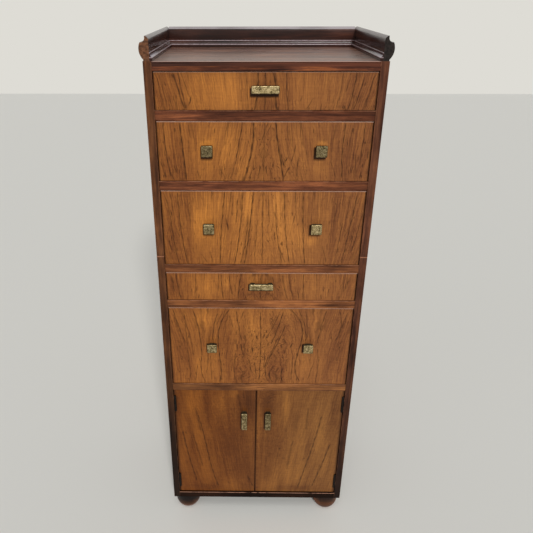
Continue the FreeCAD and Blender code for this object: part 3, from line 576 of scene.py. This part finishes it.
            (.7, 1.2, (-42, 668), (-38, 655)), (.8, 1.2, (88, 645), (82, 628)),
            (.6, 1., (-52, 640), (-44, 600)), (.5, .9, (14, 620), (12, 560)),
            (.6, .9, (-30, 590), (-22, 545)), (.55, .9, (-14, 580), (-8, 530)),
            (.6, 1., (24, 600), (16, 548), (22, 520)), (.6, 1.2, (36, 560), (28, 530), (38, 512)),
            (.65, 1.1, (-52, 512), (-44, 530), (-28, 536), (-16, 526)),
            (.7, 1.2, (64, 560), (60, 536), (66, 512)), (.85, 1.6, (66, 532), (62, 526)),
            (.45, .8, (-82, 730), (-72, 690)), (.45, .8, (-66, 610), (-70, 560), (-66, 512)),
            (.45, .8, (90, 600), (88, 520)), (.4, .8, (155, 625), (160, 560), (156, 512)),
            (.45, .7, (148, 580), (134, 520)), (.4, .7, (-140, 620), (-146, 540)),
            (.4, .7, (-134, 600), (-132, 520)), (.45, .7, (-170, 570), (-178, 515)),
            (.45, .7, (-206, 740), (-186, 650), (-180, 600)), (.6, .7, (205, 556), (220, 555))],
        "tones": [
            (.4, -150, 715, 34, 34), (.2, 0, 640, 90, 140), (-.3, -50, 545, 24, 44), (-.3, 42, 560, 34, 50),
            (-.25, -48, 640, 18, 50), (.2, -20, 700, 20, 34), (.25, 70, 740, 16, 20), (-.2, 66, 640, 10, 90),
            (.3, -70, 710, 10, 40), (-.25, -205, 600, 26, 90), (.2, -160, 560, 34, 50),
            (-.2, -90, 640, 16, 90), (.15, 128, 575, 34, 50), (-.25, 205, 640, 28, 110), (.2, 12, 560, 8, 44),
            (-.2, -84, 560, 8, 60), (.2, 150, 700, 18, 40), (-.25, 45, 690, 20, 30)],
        "dashes": [
            (1.5, 5, 640, 66, 110), (.6, -205, 620, 40, 110), (.7, 205, 660, 40, 90),
            (.45, -100, 570, 60, 50), (.4, 110, 560, 50, 50)],
        "swirls": [(.9, 20, 600, 46, 100), (.8, -30, 560, 34, 60), (.5, 60, 700, 30, 40)],
    },
    "left_door": {
        "board": "left_door_panel", "joint": -300.0, "edges": (4.0, 1.7), "pale": 0.0, "seed": 7.9,
        "flow": [
            (-286, -262, -238), (-238, -210, -178), (-188, -156, -118), (-120, -100, -70), (-60, -50, -30),
            (-7, -7, 4)],
        "strokes": [
            (.75, 1.5, (-176, 395), (-158, 301), (-142, 198), (-120, 106)),
            (.6, 1.6, (-222, 330), (-204, 213), (-186, 128)), (.35, 2.5, (-182, 420), (-168, 330)),
            (.3, 2., (-196, 330), (-180, 260), (-168, 190)), (.45, 2., (-30, 150), (-12, 105)),
            (.5, 1.2, (-216, 330), (-212, 318)), (.35, 3., (-140, 400), (-128, 396)),
            (.5, 1.5, (-90, 124), (-86, 118)), (.3, 3., (-60, 470), (-45, 380))],
        "tones": [
            (.5, -188, 440, 24, 60), (.4, -178, 320, 20, 70), (-.25, -150, 420, 12, 60),
            (-.27, -84, 270, 44, 90), (-.5, -30, 440, 24, 60), (.3, -110, 430, 20, 50),
            (.3, -150, 180, 34, 60), (-.2, -40, 180, 24, 60), (.25, -222, 250, 14, 90),
            (-.25, -196, 290, 8, 60), (.3, -85, 110, 26, 30), (.35, -70, 475, 14, 20),
            (-.25, -232, 430, 10, 60), (-.3, -150, 100, 40, 14)],
        "dashes": [(.25, -180, 280, 80, 200)],
        "swirls": [(.25, -120, 400, 60, 60)],
    },
    "right_door": {
        "board": "right_door_panel", "joint": -300.0, "edges": (1.7, 4.0), "pale": 0.0, "seed": 9.4,
        "flow": [(-7, 0, 4), (60, 46, 26), (118, 98, 70), (186, 158, 122), (236, 208, 176), (290, 262, 236)],
        "strokes": [
            (.7, 1.5, (182, 390), (164, 279), (143, 180), (125, 98)),
            (.55, 1.6, (214, 284), (195, 200), (170, 108)), (.35, 2., (142, 420), (140, 340)),
            (.9, 1.6, (213, 139), (222, 138), (231, 136)), (.5, 1., (210, 141), (216, 137)),
            (.5, 1.6, (66, 268), (64, 258)), (.55, 1.8, (142, 228), (138, 220)),
            (.45, 1.6, (80, 228), (78, 222)), (.35, 2., (16, 476), (28, 462), (40, 470)),
            (.35, 1.6, (14, 462), (24, 450), (34, 456)), (.35, 2., (104, 300), (90, 180)),
            (.3, 2., (190, 200), (176, 120))],
        "tones": [
            (.25, 130, 300, 160, 260), (.55, 78, 430, 11, 60), (-.5, 28, 440, 22, 50), (-.3, 52, 300, 26, 80),
            (.25, 120, 300, 30, 90), (-.3, 100, 380, 16, 60), (.3, 180, 330, 20, 80), (.3, 110, 160, 44, 50),
            (.25, 205, 200, 20, 60), (-.25, 150, 250, 10, 90), (-.2, 222, 400, 14, 60), (.3, 30, 110, 30, 30),
            (-.25, 20, 220, 14, 80), (-.3, 120, 100, 60, 12)],
        "dashes": [(.25, 160, 280, 80, 200), (.3, 40, 200, 40, 90)],
        "swirls": [(.6, 28, 455, 26, 30), (.2, 60, 300, 40, 60)],
    },
}

veneerSheet = {
    # the darkness of the painted shadow in the side gaps of each face is set here too
    "proud": 0.25, "inset": 0.8, "cellAcross": 1.0, "cellUp": 2.5, "sink": 0.4, "edgeShadow": 0.9,
    "toneShare": 0.55, "strokeWidth": 1.35, "strokeDark": 1.9, "strokeOver": 2.0, "strokeSoft": 6.0,
    # waves along a stroke: amount, length, and how far they shift from one stroke to the next
    "strokeWander": [(0.4, 6.1, 2.3), (0.2, 2.7, 5.1)], "strokePressure": [(0.2, 4.3, 1.7)],
    # the painted shadow of the pulls: shift to the left, shift down, soft edge and darkness; then the pale
    # top edge
    "pullShadowLeft": 1.8, "pullShadowBelow": 7.2, "pullShadowSoft": 2.2, "pullShadowDark": 0.95, "paleEdge": 0.7, "paleFade": 1.05,
    "mirrorShift": 2.0,
}


def softSpots(across, height, spots):
    # sum of rounded spots: amount times e to the minus squared distance in units of each spot's reach
    total = np.zeros_like(across)
    for amount, x, z, reachAcross, reachUp in spots:
        total += amount * np.exp(-((across - x) / reachAcross) ** 2 - ((height - z) / reachUp) ** 2)
    return total


def strokeWaves(height, number, waves):
    # sum of amount times the sine of height over length
    return sum(amount * np.sin(height / length + number * shift) for amount, length, shift in waves)


def strokeDarkness(across, height, strokes, look):
    # each stroke follows the curve through its points; darkness falls off as a bell to both sides of it
    dark = np.zeros_like(across)
    over, soft = look["strokeOver"], look["strokeSoft"]
    lightest = 1 - sum(amount for amount, length, shift in look["strokePressure"])
    for number, (strength, halfWidth, *points) in enumerate(strokes):
        x, z = np.array(points, float).T
        curve = np.polyfit(z - z.mean(), x, len(points) - 1)
        wander = strokeWaves(height, number, look["strokeWander"])
        aside = across - np.polyval(curve, height - z.mean()) - wander
        ends = np.clip((height - z.min() + over) / soft, 0, 1)
        ends *= np.clip((z.max() + over - height) / soft, 0, 1)
        pressure = lightest + strokeWaves(height, number, look["strokePressure"])
        bell = np.exp(-(aside / (halfWidth * look["strokeWidth"])) ** 2)
        dark = np.maximum(dark, np.minimum(strength * look["strokeDark"], 1) * ends * pressure * bell)
    return dark


def grainAcross(across, height, flow, low, high):
    # how far over the grain a point lies: straight between the flow curves, each a parabola in height
    share = (height - low) / (high - low) * 2 - 1
    lines = [middle + (top - bottom) / 2 * share + ((top + bottom) / 2 - middle) * share ** 2
             for top, middle, bottom in flow]
    total = np.full_like(across, flow[0][1])
    for (left, right), (first, second) in zip(zip(lines, lines[1:]), zip(flow, flow[1:])):
        total += (second[1] - first[1]) * np.clip((across - left) / (right - left), 0, 1)
    return total


def pullShadow(across, height, body, look):
    # painted shadow close round the pulls, most of it below them and a little to the left, where they shade
    # the face
    dark = np.zeros_like(across)
    for node in (body + "_knobs", body + "_handle"):
        if node not in nodes:
            continue
        low, high = cornersOf(node)
        side = high[2] - low[2]
        pair = [(low[0], low[0] + side), (high[0] - side, high[0])]
        for left, right in pair if node.endswith("knobs") else [(low[0], high[0])]:
            aside = np.abs(across + look["pullShadowLeft"] - (left + right) / 2) - (right - left) / 2
            above = np.abs(height + look["pullShadowBelow"] - (low[2] + high[2]) / 2) - side / 2
            near = np.clip(1 - np.maximum(aside, above) / look["pullShadowSoft"], 0, 1)
            dark = np.maximum(dark, look["pullShadowDark"] * near)
    return dark


def buildVeneer(body, face, sheet, material):
    # a flat grid over the board's front; its last ring of points is turned back into the board to close it
    low, high = cornersOf(face["board"])
    left, right = low[0] + sheet["inset"], high[0] - sheet["inset"]
    bottom, top = low[2] + sheet["inset"], high[2] - sheet["inset"]
    columns = round((right - left) / sheet["cellAcross"]) + 1
    rows = round((top - bottom) / sheet["cellUp"]) + 1
    across = np.linspace(left, right, columns)[[0, *range(columns), -1]]
    height = np.linspace(bottom, top, rows)
    height = np.insert(height, -1, (top - sheet["paleFade"], top - sheet["paleEdge"]))
    height = height[[0, *range(rows + 2), -1]]
    across, height = np.meshgrid(across, height)
    deep = np.zeros(across.shape, bool)
    deep[[0, -1], :] = True
    deep[:, [0, -1]] = True
    front = low[1] - sheet["proud"]
    depth = np.where(deep, front + sheet["sink"], front)
    points = np.stack([across, depth, height], -1).reshape(-1, 3) * mm
    index = np.arange(points.shape[0]).reshape(across.shape)
    back = [*index[0, :-1], *index[:-1, -1], *index[-1, :0:-1], *index[:0:-1, 0]]
    faces = [*gridFaces(index).tolist(), [int(i) for i in back[::-1]]]
    mesh = meshPiece(body + "_veneer", points, faces, material, body).data
    dark = strokeDarkness(across, height, face["strokes"], sheet)
    # painted shadow in the gaps beside the face, at its left and right edges
    edge = np.minimum((across - left) / face["edges"][0], (right - across) / face["edges"][1])
    dark = np.maximum(dark, sheet["edgeShadow"] * np.exp(-edge ** 2))
    # the painted shadow cast by the pulls
    dark = np.maximum(dark, pullShadow(across, height, body, sheet))
    tone, dash, swirl = (softSpots(across, height, face[kind]) for kind in ("tones", "dashes", "swirls"))
    over = grainAcross(across, height, face["flow"], bottom, top)
    over = np.where(over < face["joint"], 2 * face["joint"] - over - sheet["mirrorShift"], over)
    values = np.stack([dark, tone * sheet["toneShare"] + 0.5, dash, swirl], -1).reshape(-1, 4)
    figureAndShade = mesh.attributes.new("figureAndShade", "FLOAT_COLOR", "POINT")
    figureAndShade.data.foreach_set("color", np.clip(values, 0, 1).astype(np.float32).ravel())
    # the pale line along the top edge: a painted highlight on the top arris, partly wear
    pale = (height > top - (sheet["paleEdge"] + sheet["paleFade"]) / 2) * face["pale"]
    mesh.attributes.new("pale", "FLOAT", "POINT").data.foreach_set("value", pale.astype(np.float32).ravel())
    corner = np.zeros(len(mesh.loops), np.int32)
    mesh.loops.foreach_get("vertex_index", corner)
    flat = np.stack([over * mm + face["seed"], height * mm], -1).reshape(-1, 2)
    grain = mesh.uv_layers.new(name="grain")
    grain.uv.foreach_set("vector", flat[corner].astype(np.float32).ravel())


# noises of the veneer: shares over and along the grain, scale, detail, roughness
veneerNoises = {
    "broad": ((1, 0.07, 1), 60.0, 2.0, 0.5), "streak": ((1, 0.02, 1), 320.0, 2.0, 0.65),
    "fibre": ((1, 0.05, 1), 800.0, 2.0, 0.6), "ripple": ((0.12, 1, 1), 260.0, 2.0, 0.6),
    "ring": ((1, 0.03, 1), 95.0, 0.0, 0.55), "comeAndGo": ((1, 0.2, 1), 60.0, 1.0, 0.55),
    "ridge": ((1, 0.055, 1), 260.0, 0.0, 0.55), "breaks": ((1, 0.3, 1), 150.0, 1.0, 0.5),
}
veneerLook = {
    "specular": 0.12, "relief": 0.00005, "fibre": 0.5, "fibreRough": 0.2, "fibreHeight": 0.3,
    "turnScale": 30.0, "turnReach": 0.006, "swirlReach": 0.06, "ringCore": 0.008, "ringShown": (0.35, 0.7),
    "dashWidth": (0.015, 0.055), "dashHelp": 0.2, "dashShown": (0.62, 0.73), "paleScale": 40.0,
    "paleRange": (0.3, 0.5), "paleShares": (0.55, 1.0),
}
veneerLooks = {
    "drawer_veneer": dict(
        veneerLook, roughness=0.42, broad=0.3, streak=0.62, ripple=0.2, ringWidth=0.04, ringShare=0.5,
        dashShare=0.65, lineShare=0.95, line=(26, 12, 7), pale=(206, 172, 156),
        sides=((1.03, 1.0, 0.88), (0.97, 1.0, 1.15)),
        colours=[(0.1, (78, 41, 24)), (0.38, (124, 74, 39)), (0.62, (154, 97, 48)), (0.95, (196, 127, 59))]),
    "door_veneer": dict(
        veneerLook, roughness=0.4, broad=0.4, streak=0.5, ripple=0.3, ringWidth=0.05, ringShare=0.25,
        dashShare=0.4, lineShare=0.8, line=(44, 22, 12), pale=(190, 140, 110),
        sides=((0.9, 0.83, 0.63), (0.96, 1.13, 1.42)),
        colours=[(0.05, (72, 38, 18)), (0.4, (105, 59, 27)), (0.65, (131, 79, 36)), (0.95, (158, 98, 43))]),
}


def veneerFinish(name, look):
    # the grain map's second coordinate runs along the grain; the figure attribute holds dark strokes together
    # with the painted shadows of the pulls and the side gaps, tone, dashes and swirl
    finish = Finish(name, Specular_IOR_Level=look["specular"])
    grain = finish.add("UVMap", {}, uv_map="grain")
    figureAndShade = finish.add("Attribute", {}, attribute_name="figureAndShade")
    dark, tone, dash = finish.add("SeparateColor", {0: figureAndShade}).node.outputs
    swirl = figureAndShade.node.outputs["Alpha"]
    turned = finish.noise(grain, look["turnScale"], 2.0, 0.5, output=1)
    turned = finish.vectors("SUBTRACT", turned, (0.5, 0.5, 0.5))
    reach = finish.maths("MULTIPLY_ADD", swirl, look["swirlReach"], look["turnReach"])
    bent = finish.vectors("ADD", grain, finish.add("VectorMath", {0: turned, 3: reach}, operation="SCALE"))
    noises = {part: finish.noise(finish.stretched(bent, shares), *settings)
              for part, (shares, *settings) in veneerNoises.items()}
    # long thin lines where a smooth noise passes its middle, coming and going along the board
    rings = finish.awayFrom(noises["ring"], 0.5)
    rings = finish.between(rings, look["ringCore"], look["ringWidth"], 1.0, 0.0)
    rings = finish.times(rings, finish.between(noises["comeAndGo"], *look["ringShown"]))
    # short thin lines of the same kind, only where the figure asks for them
    allowed = finish.maths("MULTIPLY_ADD", dash, look["dashHelp"], noises["breaks"])
    dashes = finish.between(finish.awayFrom(noises["ridge"], 0.5), *look["dashWidth"], 1.0, 0.0)
    dashes = finish.times(dashes, finish.between(allowed, *look["dashShown"]))
    level = tone
    for part in ("broad", "streak", "fibre", "ripple"):
        level = finish.swung(level, noises[part], look[part])
    colour = finish.ramp(level, look["colours"])
    lines = finish.maths("MAXIMUM", finish.times(rings, look["ringShare"]),
                         finish.times(dashes, look["dashShare"]))
    lines = finish.maths("MAXIMUM", dark, lines)
    colour = finish.laid(colour, lines, look["lineShare"], look["line"])
    # painted tints of the light at left and right
    colour = finish.sideLightTints(colour, look["sides"])
    # the pale top edge: a painted highlight on the top arris, partly wear, broken up by noise
    pale = finish.add("Attribute", {}, "Fac", attribute_name="pale")
    paleShare = finish.noise(grain, look["paleScale"])
    paleShare = finish.between(paleShare, *look["paleRange"], *look["paleShares"])
    colour = finish.laid(colour, pale, paleShare, look["pale"])
    share = look["fibreRough"]
    rough = finish.maths("MULTIPLY_ADD", noises["fibre"], share, look["roughness"] - share / 2)
    height = finish.maths("SUBTRACT", finish.times(noises["fibre"], look["fibreHeight"]), lines)
    return finish.finished(colour, rough, height, look["relief"])


sheetMaterials = {slotName: veneerFinish(slotName + "_face", look) for slotName, look in veneerLooks.items()}
for body, face in veneerFaces.items():
    slotName = "door_veneer" if body.endswith("door") else "drawer_veneer"
    buildVeneer(body, face, veneerSheet, sheetMaterials[slotName])
print("veneer faces:", len(veneerFaces))


def roundedBlock(size, look):
    # a box with rounded edges: each point of the box's skin is drawn back to an inner box, then put at the
    # edge radius from it; the points on shared edges are the same, so the block is closed
    ratio = np.linspace(-1, 1, look["cells"] + 1)
    first, second = np.meshgrid(ratio, ratio)
    one = np.ones_like(first)
    index = np.arange(first.size).reshape(first.shape)
    skin, faces = [], []
    for axis in range(3):
        for sign in (-1, 1):
            parts = [None] * 3
            parts[axis], parts[(axis + 1) % 3], parts[(axis + 2) % 3] = one * sign, first, second
            faces.append(gridFaces(index + len(skin) * first.size)[:, ::sign])
            skin.append(np.stack(parts, -1).reshape(-1, 3))
    skin, faces = np.concatenate(skin), np.concatenate(faces)
    # rows of cells crowd towards the edges, where the surface turns; points that agree to 5 decimals are one
    half, radius = np.array(size, float) / 2, look["edge"]
    point = np.sign(skin) * (1 - (1 - np.abs(skin)) ** look["crowding"]) * half
    inner = np.clip(point, radius - half, half - radius)
    away = point - inner
    away /= np.linalg.norm(away, axis=1, keepdims=True)
    joined, same = np.unique(np.round(inner + away * radius, 5), axis=0, return_inverse=True)
    normal = np.zeros_like(joined)
    np.add.at(normal, same.ravel(), away)
    return joined, same.ravel()[faces], normal / np.linalg.norm(normal, axis=1, keepdims=True)


def hammered(points, normals, look, seed):
    # round hollows at scattered places: a point goes inwards by the depth of the nearest hollow's bowl
    draw = np.random.default_rng(seed)
    picks = draw.choice(len(points), look["hollows"])
    reach = draw.uniform(*look["hollowReach"], len(picks))
    depth = draw.uniform(*look["hollowDepth"], len(picks))
    apart = np.linalg.norm(points[:, None] - points[picks][None], axis=2) / reach
    bowl = (np.clip(1 - apart ** 2, 0, 1) * depth).max(1)
    grit = draw.normal(0, look["grit"], len(points))
    return points - normals * (bowl + grit)[:, None]


def flaredPost(look, length):
    # a square post whose side grows towards both ends: half side plus flare times the square of the place
    along = np.linspace(-1, 1, look["postSteps"] + 1)
    turn = np.linspace(0, 2 * np.pi, look["postAround"], endpoint=False)
    circle = np.stack([np.cos(turn), np.sin(turn)], -1)
    square = np.sign(circle) * np.abs(circle) ** look["postCorner"]
    half = np.array(look["post"]) / 2 + look["flare"] * (along ** 2)[:, None]
    ring = square * half[:, None]
    deep = np.broadcast_to((along * length / 2)[:, None, None], (*ring.shape[:2], 1))
    return closedTube(np.concatenate([ring[..., :1], deep, ring[..., 1:]], -1))


# the head stays within the CAD pull, the posts end in the head and touch the board
pullLook = {"headDepth": 8.0, "headWithin": 0.2, "crowding": 1.35, "postSteps": 8, "postAround": 24,
            "postCorner": 0.22, "postInHead": 1.2, "postInBoard": 0.05, "grit": 0.035}
knobLook = dict(pullLook, post=(12.0, 12.0), flare=2.2, edge=1.6, cells=22, seed=40,
                hollows=150, hollowReach=(1.2, 2.6), hollowDepth=(0.08, 0.45))
barLook = dict(pullLook, post=(9.0, 11.0), postInset=8.0, flare=1.4, edge=1.9, cells=30, seed=60,
               hollows=220, hollowReach=(1.2, 3.0), hollowDepth=(0.08, 0.5))
uprightLook = dict(barLook, post=(11.0, 9.0), seed=80)

# how light each pull's colour is made, from the left one to the right one
paleShares = {"drawer_1": [0.95], "drawer_2": [0.35, 0.4], "drawer_3": [0.55, 1.0], "drawer_4": [0.85],
                "drawer_5": [0.7, 0.85], "left_door": [0.6], "right_door": [0.5]}


def buildPull(body, kind, look, seed):
    # hammered heads in front of their posts, put in the room of the CAD pull: two square knobs on one post
    # each, or a bar on two posts near the ends of its longer side
    low, high = cornersOf(body + kind)
    x, y, z = (low + high) / 2
    width, depth, height = high - low
    places, posts = [x], [(0, 0)]
    if kind == "_knobs":
        places = [x - (width - height) / 2, x + (width - height) / 2]
        width = height
    else:
        reach = max(width, height) / 2 - look["postInset"]
        posts = [(side * reach, 0) if width > height else (0, side * reach) for side in (-1, 1)]
    within, length = look["headWithin"], depth - look["headDepth"] + look["postInHead"]
    shells, paleShare = [], []
    for number, x in enumerate(places):
        head, headFaces, normals = roundedBlock((width - within, look["headDepth"], height - within), look)
        head = hammered(head, normals, look, seed + number)
        shells.append((head + (x, low[1] + look["headDepth"] / 2 + within, z), headFaces))
        for aside, above in posts:
            post, postFaces = flaredPost(look, length)
            middleY = high[1] - length / 2 + look["postInBoard"]
            shells.append((post + (x + aside, middleY, z + above), postFaces))
        pointsSoFar = sum(len(shellPoints) for shellPoints, shellFaces in shells)
        paleShare += [paleShares[body][number]] * (pointsSoFar - len(paleShare))
    points, faces = joinedShells(shells)
    piece = meshPiece(body + kind + "_cast", points * mm, faces, finishes["antique_brass"], body)
    piece.data.attributes.new("paleShare", "FLOAT", "POINT").data.foreach_set("value", paleShare)
    piece.data.shade_smooth()
    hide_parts(body + kind)


for number, body in enumerate(("drawer_1", "drawer_2", "drawer_3", "drawer_4", "drawer_5")):
    kind, look = ("_knobs", knobLook) if body + "_knobs" in nodes else ("_handle", barLook)
    buildPull(body, kind, look, look["seed"] + number)
for number, body in enumerate(("left_door", "right_door")):
    buildPull(body, "_handle", uprightLook, uprightLook["seed"] + number)
print("pulls ready")


footLook = {"height": 62.0, "radius": 38.4, "within": 0.1, "pad": 20.0, "padRim": 1.0, "waist": 1.2,
            "bowlSteps": 48, "bandSteps": 12, "around": 64}


def latheShell(profile, middle, around):
    # a profile of radius and height, turned about an upright line through the middle; both ends are flat
    profile = np.array(profile, float)
    turn = np.linspace(0, 2 * np.pi, around, endpoint=False)
    ring = np.stack([profile[:, :1] * np.cos(turn), profile[:, :1] * np.sin(turn),
                     np.broadcast_to(profile[:, 1:], (len(profile), around))], -1)
    return closedTube(ring + (*middle, 0))


def footProfile(look):
    # a bowl: an arc from the pad on the floor to the widest place, then an upright band with a soft shoulder
    start = math.asin(look["pad"] / look["radius"])
    angle = np.linspace(start, math.pi / 2, look["bowlSteps"])
    bowlHeight = look["radius"] * math.cos(start)
    radius = look["radius"] * np.sin(angle)
    height = bowlHeight - look["radius"] * np.cos(angle)
    band = np.linspace(0, 1, look["bandSteps"])[1:]
    top = look["height"] - bowlHeight
    return [(look["pad"] - look["padRim"], 0.0), *zip(radius, height),
            *((look["radius"] - look["waist"] * share ** 3, bowlHeight + top * share) for share in band)]


def buildFeet(look):
    low, high = cornersOf("bun_feet")
    reach = look["radius"] + look["within"]
    places = [(x, y) for x in (low[0] + reach, high[0] - reach) for y in (low[1] + reach, high[1] - reach)]
    points, faces = joinedShells([latheShell(footProfile(look), place, look["around"]) for place in places])
    piece = meshPiece("bun_feet_turned", points * mm, faces, finishes["turned_feet"], "carcass")
    piece.data.shade_smooth()
    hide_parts("bun_feet")


buildFeet(footLook)
print("feet ready")


def arcThrough(first, middle, last, steps=10):
    # the circle through three places: its centre from the ratio w = (last - first) / (middle - first)
    a, b, c = complex(*first), complex(*middle), complex(*last)
    w = (c - a) / (b - a)
    centre = a - (a - b) * (w - abs(w) ** 2) / 2j / w.imag
    turn = np.angle((c - centre) / (a - centre))
    ring = centre + (a - centre) * np.exp(1j * turn * np.linspace(0, 1, steps + 1))
    return list(zip(ring.real, ring.imag))


# sections of the gallery, out from a side or wall and up from the top board, in millimetres
galleryLook = {
    "side": [(-15, 0), (-15, 22), *arcThrough((-15, 43.5), (-12.6, 47.1), (-9, 49.5)), (-7, 49.5),
             *arcThrough((-7, 44.5), (-3.92, 39.2), (3.5, 37)),
             *arcThrough((3.5, 37), (6.5, 26), (-2, 3), 24)[1:], (-2, 0)],
    "back": [(0, 0), (0, 22), *arcThrough((0, 43.5), (2.4, 47.1), (6, 49.5)), (13, 49.5), (13, 0)],
    "inner": [(0, 0), (0, 17), *arcThrough((0.3, 17), (0.75, 16.85), (1.0, 16.4), 5), (1.35, 15),
              *arcThrough((1.35, 15), (2.4, 10.8), (4.8, 8.0))[1:], (5.5, 7.6), (6.0, 6.9), (6.2, 6.2),
              (6.5, 4.2), (6.5, 0)],
    "sharpAngle": 30.0,
}


def sweptSection(section, stations):
    # each station is a place on the floor plan and the way out from it; a point lies as far along that way as
    # the section is wide there, and as high as the section is
    section = np.array(section, float)
    place, way = np.array(stations, float).transpose(1, 0, 2)
    plan = place[:, None] + way[:, None] * section[None, :, :1]
    up = np.broadcast_to(section[None, :, 1:], (*plan.shape[:2], 1))
    return closedTube(np.concatenate([plan, up], -1))


def buildSwept(name, node, section, stations, finishName):
    # a section carried past its stations; a negative sum of tetrahedra shows that its faces point inwards
    low, high = cornersOf(node)
    points, faces = sweptSection(galleryLook[section], stations(low, high))
    volume = sum(float(np.dot(points[face[0]], np.cross(points[face[i]], points[face[i + 1]])))
                 for face in faces for i in range(1, len(face) - 1))
    if volume < 0:
        faces = [face[::-1] for face in faces]
    points = (points + (0, 0, low[2])) * mm
    piece = meshPiece(name, points, faces, finishes[finishName], "carcass")
    piece.data.shade_smooth()
    piece.data.set_sharp_from_angle(angle=math.radians(galleryLook["sharpAngle"]))
    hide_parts(node)


overhang = max(out for out, up in galleryLook["side"])
buildSwept("gallery_left_moulded", "gallery_left", "side", lambda low, high:
           [((low[0] + overhang, y), (-1, 0)) for y in (low[1], high[1])], "gallery_side")
buildSwept("gallery_right_moulded", "gallery_right", "side", lambda low, high:
           [((high[0] - overhang, y), (1, 0)) for y in (low[1], high[1])], "gallery_side")
buildSwept("gallery_back_moulded", "gallery_back", "back", lambda low, high:
           [((x, low[1]), (0, 1)) for x in (low[0], high[0])], "dark_trim")
buildSwept("gallery_inner_moulding_mitred", "gallery_inner_moulding", "inner", lambda low, high:
           [((low[0], low[1]), (1, 0)), ((low[0], high[1]), (1, -1)), ((high[0], high[1]), (-1, -1)),
            ((high[0], low[1]), (-1, 0))], "foot_moulding")
print("gallery ready")


stageLook = {"floorSize": 16.0, "floor": (230, 229, 223), "roughness": 0.7, "specular": 0.3,
             "world": (222, 220, 213), "worldLight": 0.25}


def buildStage(look):
    # a pale floor, and a world that lights plainly and shows its own pale colour
    floor = Finish("pale_floor", Base_Color=linear(look["floor"]), Roughness=look["roughness"],
                   Specular_IOR_Level=look["specular"])
    half = look["floorSize"] / 2
    corners = np.array([(-half, -half, 0), (half, -half, 0), (half, half, 0), (-half, half, 0)])
    linkedMesh("floor", corners, [(0, 1, 2, 3)], floor.material)

    scene.world = bpy.data.worlds.new("room")
    scene.world.use_nodes = True
    room = NodeGraph(scene.world.node_tree)
    ray = room.add("LightPath", {}).node.outputs
    seen = room.maths("MAXIMUM", ray["Is Camera Ray"], ray["Is Transmission Ray"])
    seen = room.maths("MAXIMUM", seen, ray["Is Glossy Ray"])
    plain = room.add("Background", {"Color": (1, 1, 1, 1), "Strength": look["worldLight"]})
    pale = room.add("Background", {"Color": linear(look["world"])})
    room.feed(room.tree.nodes.new("ShaderNodeOutputWorld").inputs[0],
              room.add("MixShader", {0: seen, 1: plain, 2: pale}))


lampLooks = {
    "ceilingLamp": {"aim": (0.02, 0.45, -1.0), "softness": 22.0, "strength": 0.45},
    "windowLamp": {"aim": (-0.18, 1.0, -0.70), "softness": 9.0, "strength": 1.85},
    "roomLamp": {"aim": (0.5, 0.8, -0.3), "softness": 60.0, "strength": 0.22},
}


def buildLamps(looks):
    # suns that shine along their aim, softened by how many degrees wide they are
    for name, look in looks.items():
        lamp = bpy.data.lights.new(name, "SUN")
        lamp.angle = math.radians(look["softness"])
        lamp.energy = look["strength"]
        holder = bpy.data.objects.new(name, lamp)
        holder.rotation_mode = "QUATERNION"
        holder.rotation_quaternion = Vector(look["aim"]).to_track_quat("-Z", "Y")
        scene.collection.objects.link(holder)


cameraLook = {"place": (-0.0442, -1.3939, 1.4826), "yaw": -0.82, "pitch": 26.49, "roll": -0.09,
              "sensorWidth": 36.0, "focalPixels": 547.1, "frameWidth": 533.0, "centreX": 236.9,
              "centreY": 266.6}


def buildCamera(look):
    # the picture's centre off the lens' axis becomes the shift; the angles turn the view: heading, tilt, roll
    data = bpy.data.cameras.new("camera")
    data.sensor_width = look["sensorWidth"]
    data.lens = look["focalPixels"] / look["frameWidth"] * data.sensor_width
    data.shift_x = (look["frameWidth"] / 2 - look["centreX"]) / look["frameWidth"]
    data.shift_y = (look["centreY"] - look["frameWidth"] / 2) / look["frameWidth"]
    yaw, pitch, roll = (math.radians(look[turn]) for turn in ("yaw", "pitch", "roll"))
    ahead = Vector((math.sin(yaw) * math.cos(pitch), math.cos(yaw) * math.cos(pitch), -math.sin(pitch)))
    level = Vector((math.cos(yaw), -math.sin(yaw), 0))
    over = level.cross(ahead)
    right = level * math.cos(roll) + over * math.sin(roll)
    up = over * math.cos(roll) - level * math.sin(roll)
    camera = bpy.data.objects.new("camera", data)
    turned = Matrix((right, up, -ahead)).transposed().to_4x4()
    camera.matrix_world = Matrix.Translation(look["place"]) @ turned
    scene.collection.objects.link(camera)
    scene.camera = camera


buildStage(stageLook)
buildLamps(lampLooks)
buildCamera(cameraLook)
scene.view_settings.view_transform = "Standard"
print("stage ready")
